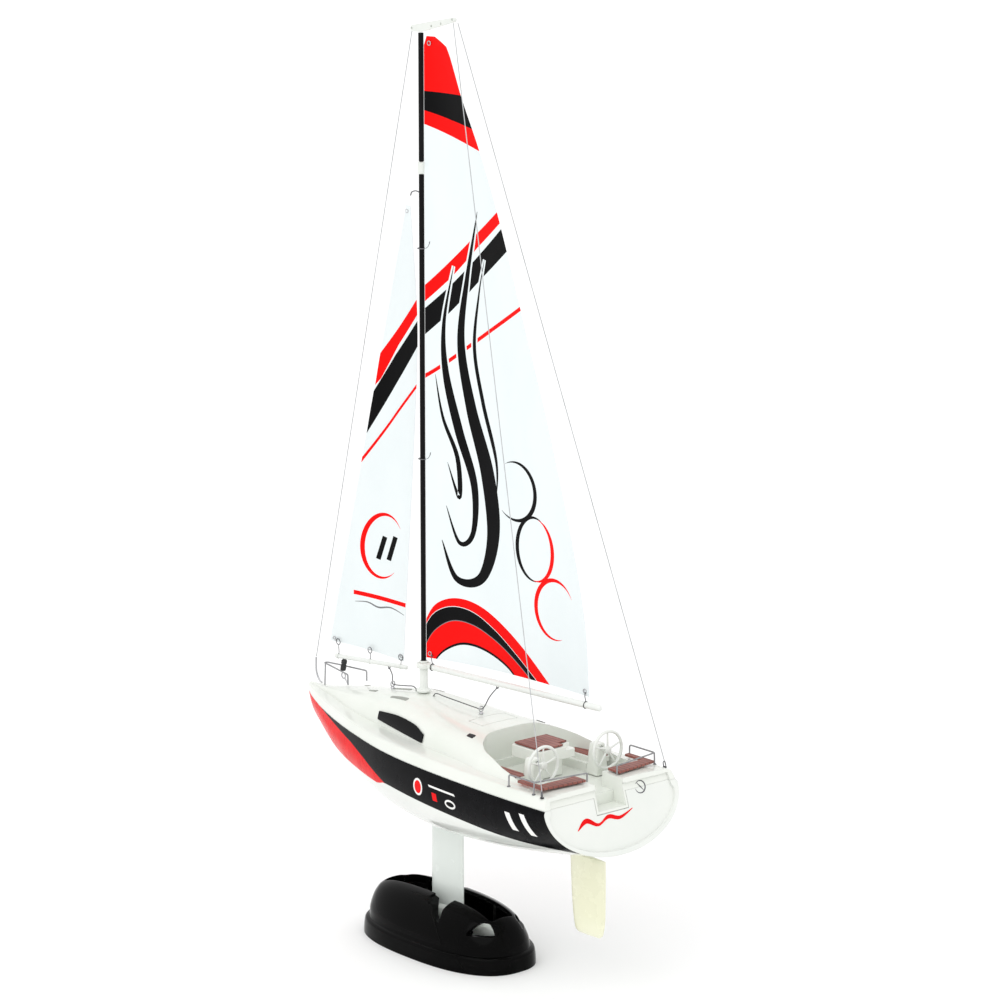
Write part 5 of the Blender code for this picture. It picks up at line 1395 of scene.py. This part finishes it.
def rails():
    low = 126.7
    for side, label in SIDES:
        route = [(-103, 44.2, low), (-103, 44.2, 133), (-123.5, 44, 133), (-128.6, 12, 133),
                 (-128.8, 10.9, 133), (-128.8, 10.9, 128.2)]
        route = bent_route([(f, side * p, z) for f, p, z in route], 1.6)
        post = tube("corner_post", [(-123.2, side * 43.9, 133.0), (-123.2, side * 44.2, 126.4)], 0.85, 12)
        shown(merged(f"quarter_rail_{label}", [tube("top_rail", route, 0.9, 12), post]), RAIL, "boat",
              (f"stern_rail_{label}",))
        for index, (f, p) in enumerate(((-103, 44.2), (-123.2, 44.2))):
            dark_steel(turned(f"rail_foot_{label}_{index}", ((1.0, 0), (1.1, 0.2), (0.8, 0.6)),
                              (f, side * p, 126.1), (0, 0, 1), 20),
                       "boat")
    arm = [(82, 7, 138.8), (82, 7, 144.8), (104, 2.6, 145.2), (111.5, 1.1, 145.2)]
    route = bent_route(arm + [(f, -p, z) for f, p, z in arm[::-1]], 1.2)
    front = tube("front_leg", [(111.9, 0, 145.0), (112.6, 0, roof_top(112.6) + 0.1)], 0.8, 12)
    shown(merged("pulpit", [tube("top_rail", route, 0.9, 12), front]), RAIL, "boat", ("bow_pulpit",))


# ---------------------------------------------------------------- carried-over solids

def weld_and_smooth():
    """A modifier that closes a CAD solid's seams and shades its curved sides smoothly."""
    group = bpy.data.node_groups.new("close_and_smooth", "GeometryNodeTree")
    group.interface.new_socket("Geometry", in_out="INPUT", socket_type="NodeSocketGeometry")
    group.interface.new_socket("Geometry", in_out="OUTPUT", socket_type="NodeSocketGeometry")
    nodes, links = group.nodes, group.links
    start, end = nodes.new("NodeGroupInput"), nodes.new("NodeGroupOutput")
    plain = nodes.new("GeometryNodeRemoveAttribute")
    plain.inputs["Name"].default_value = "custom_normal"
    merge = nodes.new("GeometryNodeMergeByDistance")
    merge.inputs["Distance"].default_value = 0.002 * MM
    angle = nodes.new("GeometryNodeInputMeshEdgeAngle")
    sharp = nodes.new("FunctionNodeCompare")
    sharp.operation = "GREATER_THAN"
    sharp.inputs[1].default_value = radians(35)
    faces, edges = nodes.new("GeometryNodeSetShadeSmooth"), nodes.new("GeometryNodeSetShadeSmooth")
    edges.domain = "EDGE"
    edges.inputs["Shade Smooth"].default_value = False
    links.new(start.outputs[0], plain.inputs[0])
    links.new(plain.outputs[0], merge.inputs[0])
    links.new(merge.outputs[0], faces.inputs[0])
    links.new(faces.outputs[0], edges.inputs[0])
    links.new(angle.outputs["Unsigned Angle"], sharp.inputs[0])
    links.new(sharp.outputs[0], edges.inputs["Selection"])
    links.new(edges.outputs[0], end.inputs[0])
    return group


def carried_over():
    group = weld_and_smooth()
    finishes = {"keel_bolt": STEEL, "keel_nut": STEEL, "rudder_tube": BRASS, "tiller_arm": WHITE_NYLON,
                "rudder_servo_horn": WHITE_NYLON, "rudder_pushrod": STEEL, "equipment_tray": BLACK_NYLON,
                "rudder_servo": SERVO_BLUE, "sail_winch_servo": SERVO_BLUE, "sail_winch_arm": WHITE_NYLON,
                "battery_pack": WRAP_BLUE, "receiver_board": BOARD, "power_switch": BLACK_NYLON,
                "switch_slider": WHITE_NYLON, "mast_crane": WHITE_NYLON}
    for name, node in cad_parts.items():
        if node.hide_render:
            continue
        if name not in finishes:
            raise RuntimeError(f"{name} has no finish")
        for slot in node.material_slots:
            slot.material = finishes[name]
        node.modifiers.new("smooth", "NODES").node_group = group


# ---------------------------------------------------------------- studio

def studio():
    floor = bpy.data.meshes.new("floor")
    reach = 30.0
    floor.from_pydata([(-reach, -reach, 0), (reach, -reach, 0), (reach, reach, 0), (-reach, reach, 0)], [],
                      [(0, 1, 2, 3)])
    ground = bpy.data.objects.new("floor", floor)
    bpy.context.scene.collection.objects.link(ground)
    paper = Finish("floor_paper", roughness=0.7)
    paper.colour(paper.mix(paper.ramp(paper.noise(400, 2), 0, 1), (0.975, 0.975, 0.975),
                           (0.965, 0.965, 0.965)))
    floor.materials.append(paper.made)
    world = bpy.data.worlds.new("studio")
    bpy.context.scene.world = world
    world.use_nodes = True
    background = world.node_tree.nodes["Background"]
    background.inputs["Color"].default_value = (1.0, 1.0, 1.0, 1.0)
    background.inputs["Strength"].default_value = 1.0
    lamp = bpy.data.lights.new("sun", "SUN")
    lamp.energy = 0.75
    lamp.angle = radians(60)
    made = bpy.data.objects.new("sun", lamp)
    made.rotation_euler = Vector((-1.0, -0.45, -1.5)).to_track_quat("-Z", "Y").to_euler()
    bpy.context.scene.collection.objects.link(made)
    bpy.context.scene.view_settings.view_transform = "Standard"


def camera():
    side, tilt, distance = radians(40.9), radians(12.1), 2.0
    target = Vector((0.0, 0.0447, 0.268))
    view = Vector((-sin(side) * cos(tilt), -cos(side) * cos(tilt), -sin(tilt)))
    lens = bpy.data.cameras.new("camera")
    lens.lens, lens.sensor_width, lens.clip_start, lens.clip_end = 131.26, 36.0, 0.01, 20.0
    made = bpy.data.objects.new("camera", lens)
    made.location = target - view * distance
    made.rotation_euler = view.to_track_quat("-Z", "Y").to_euler()
    bpy.context.scene.collection.objects.link(made)
    bpy.context.scene.camera = made


# ---------------------------------------------------------------- the whole scene

camera()
hull()
hull_band()
stern_artwork()
deck()
hatch()
windows()
deck_patches()
cockpit()
underwater()
stand()
spars()
mainsail()
jib()
rig_hooks()
rigging()
rails()
carried_over()
studio()
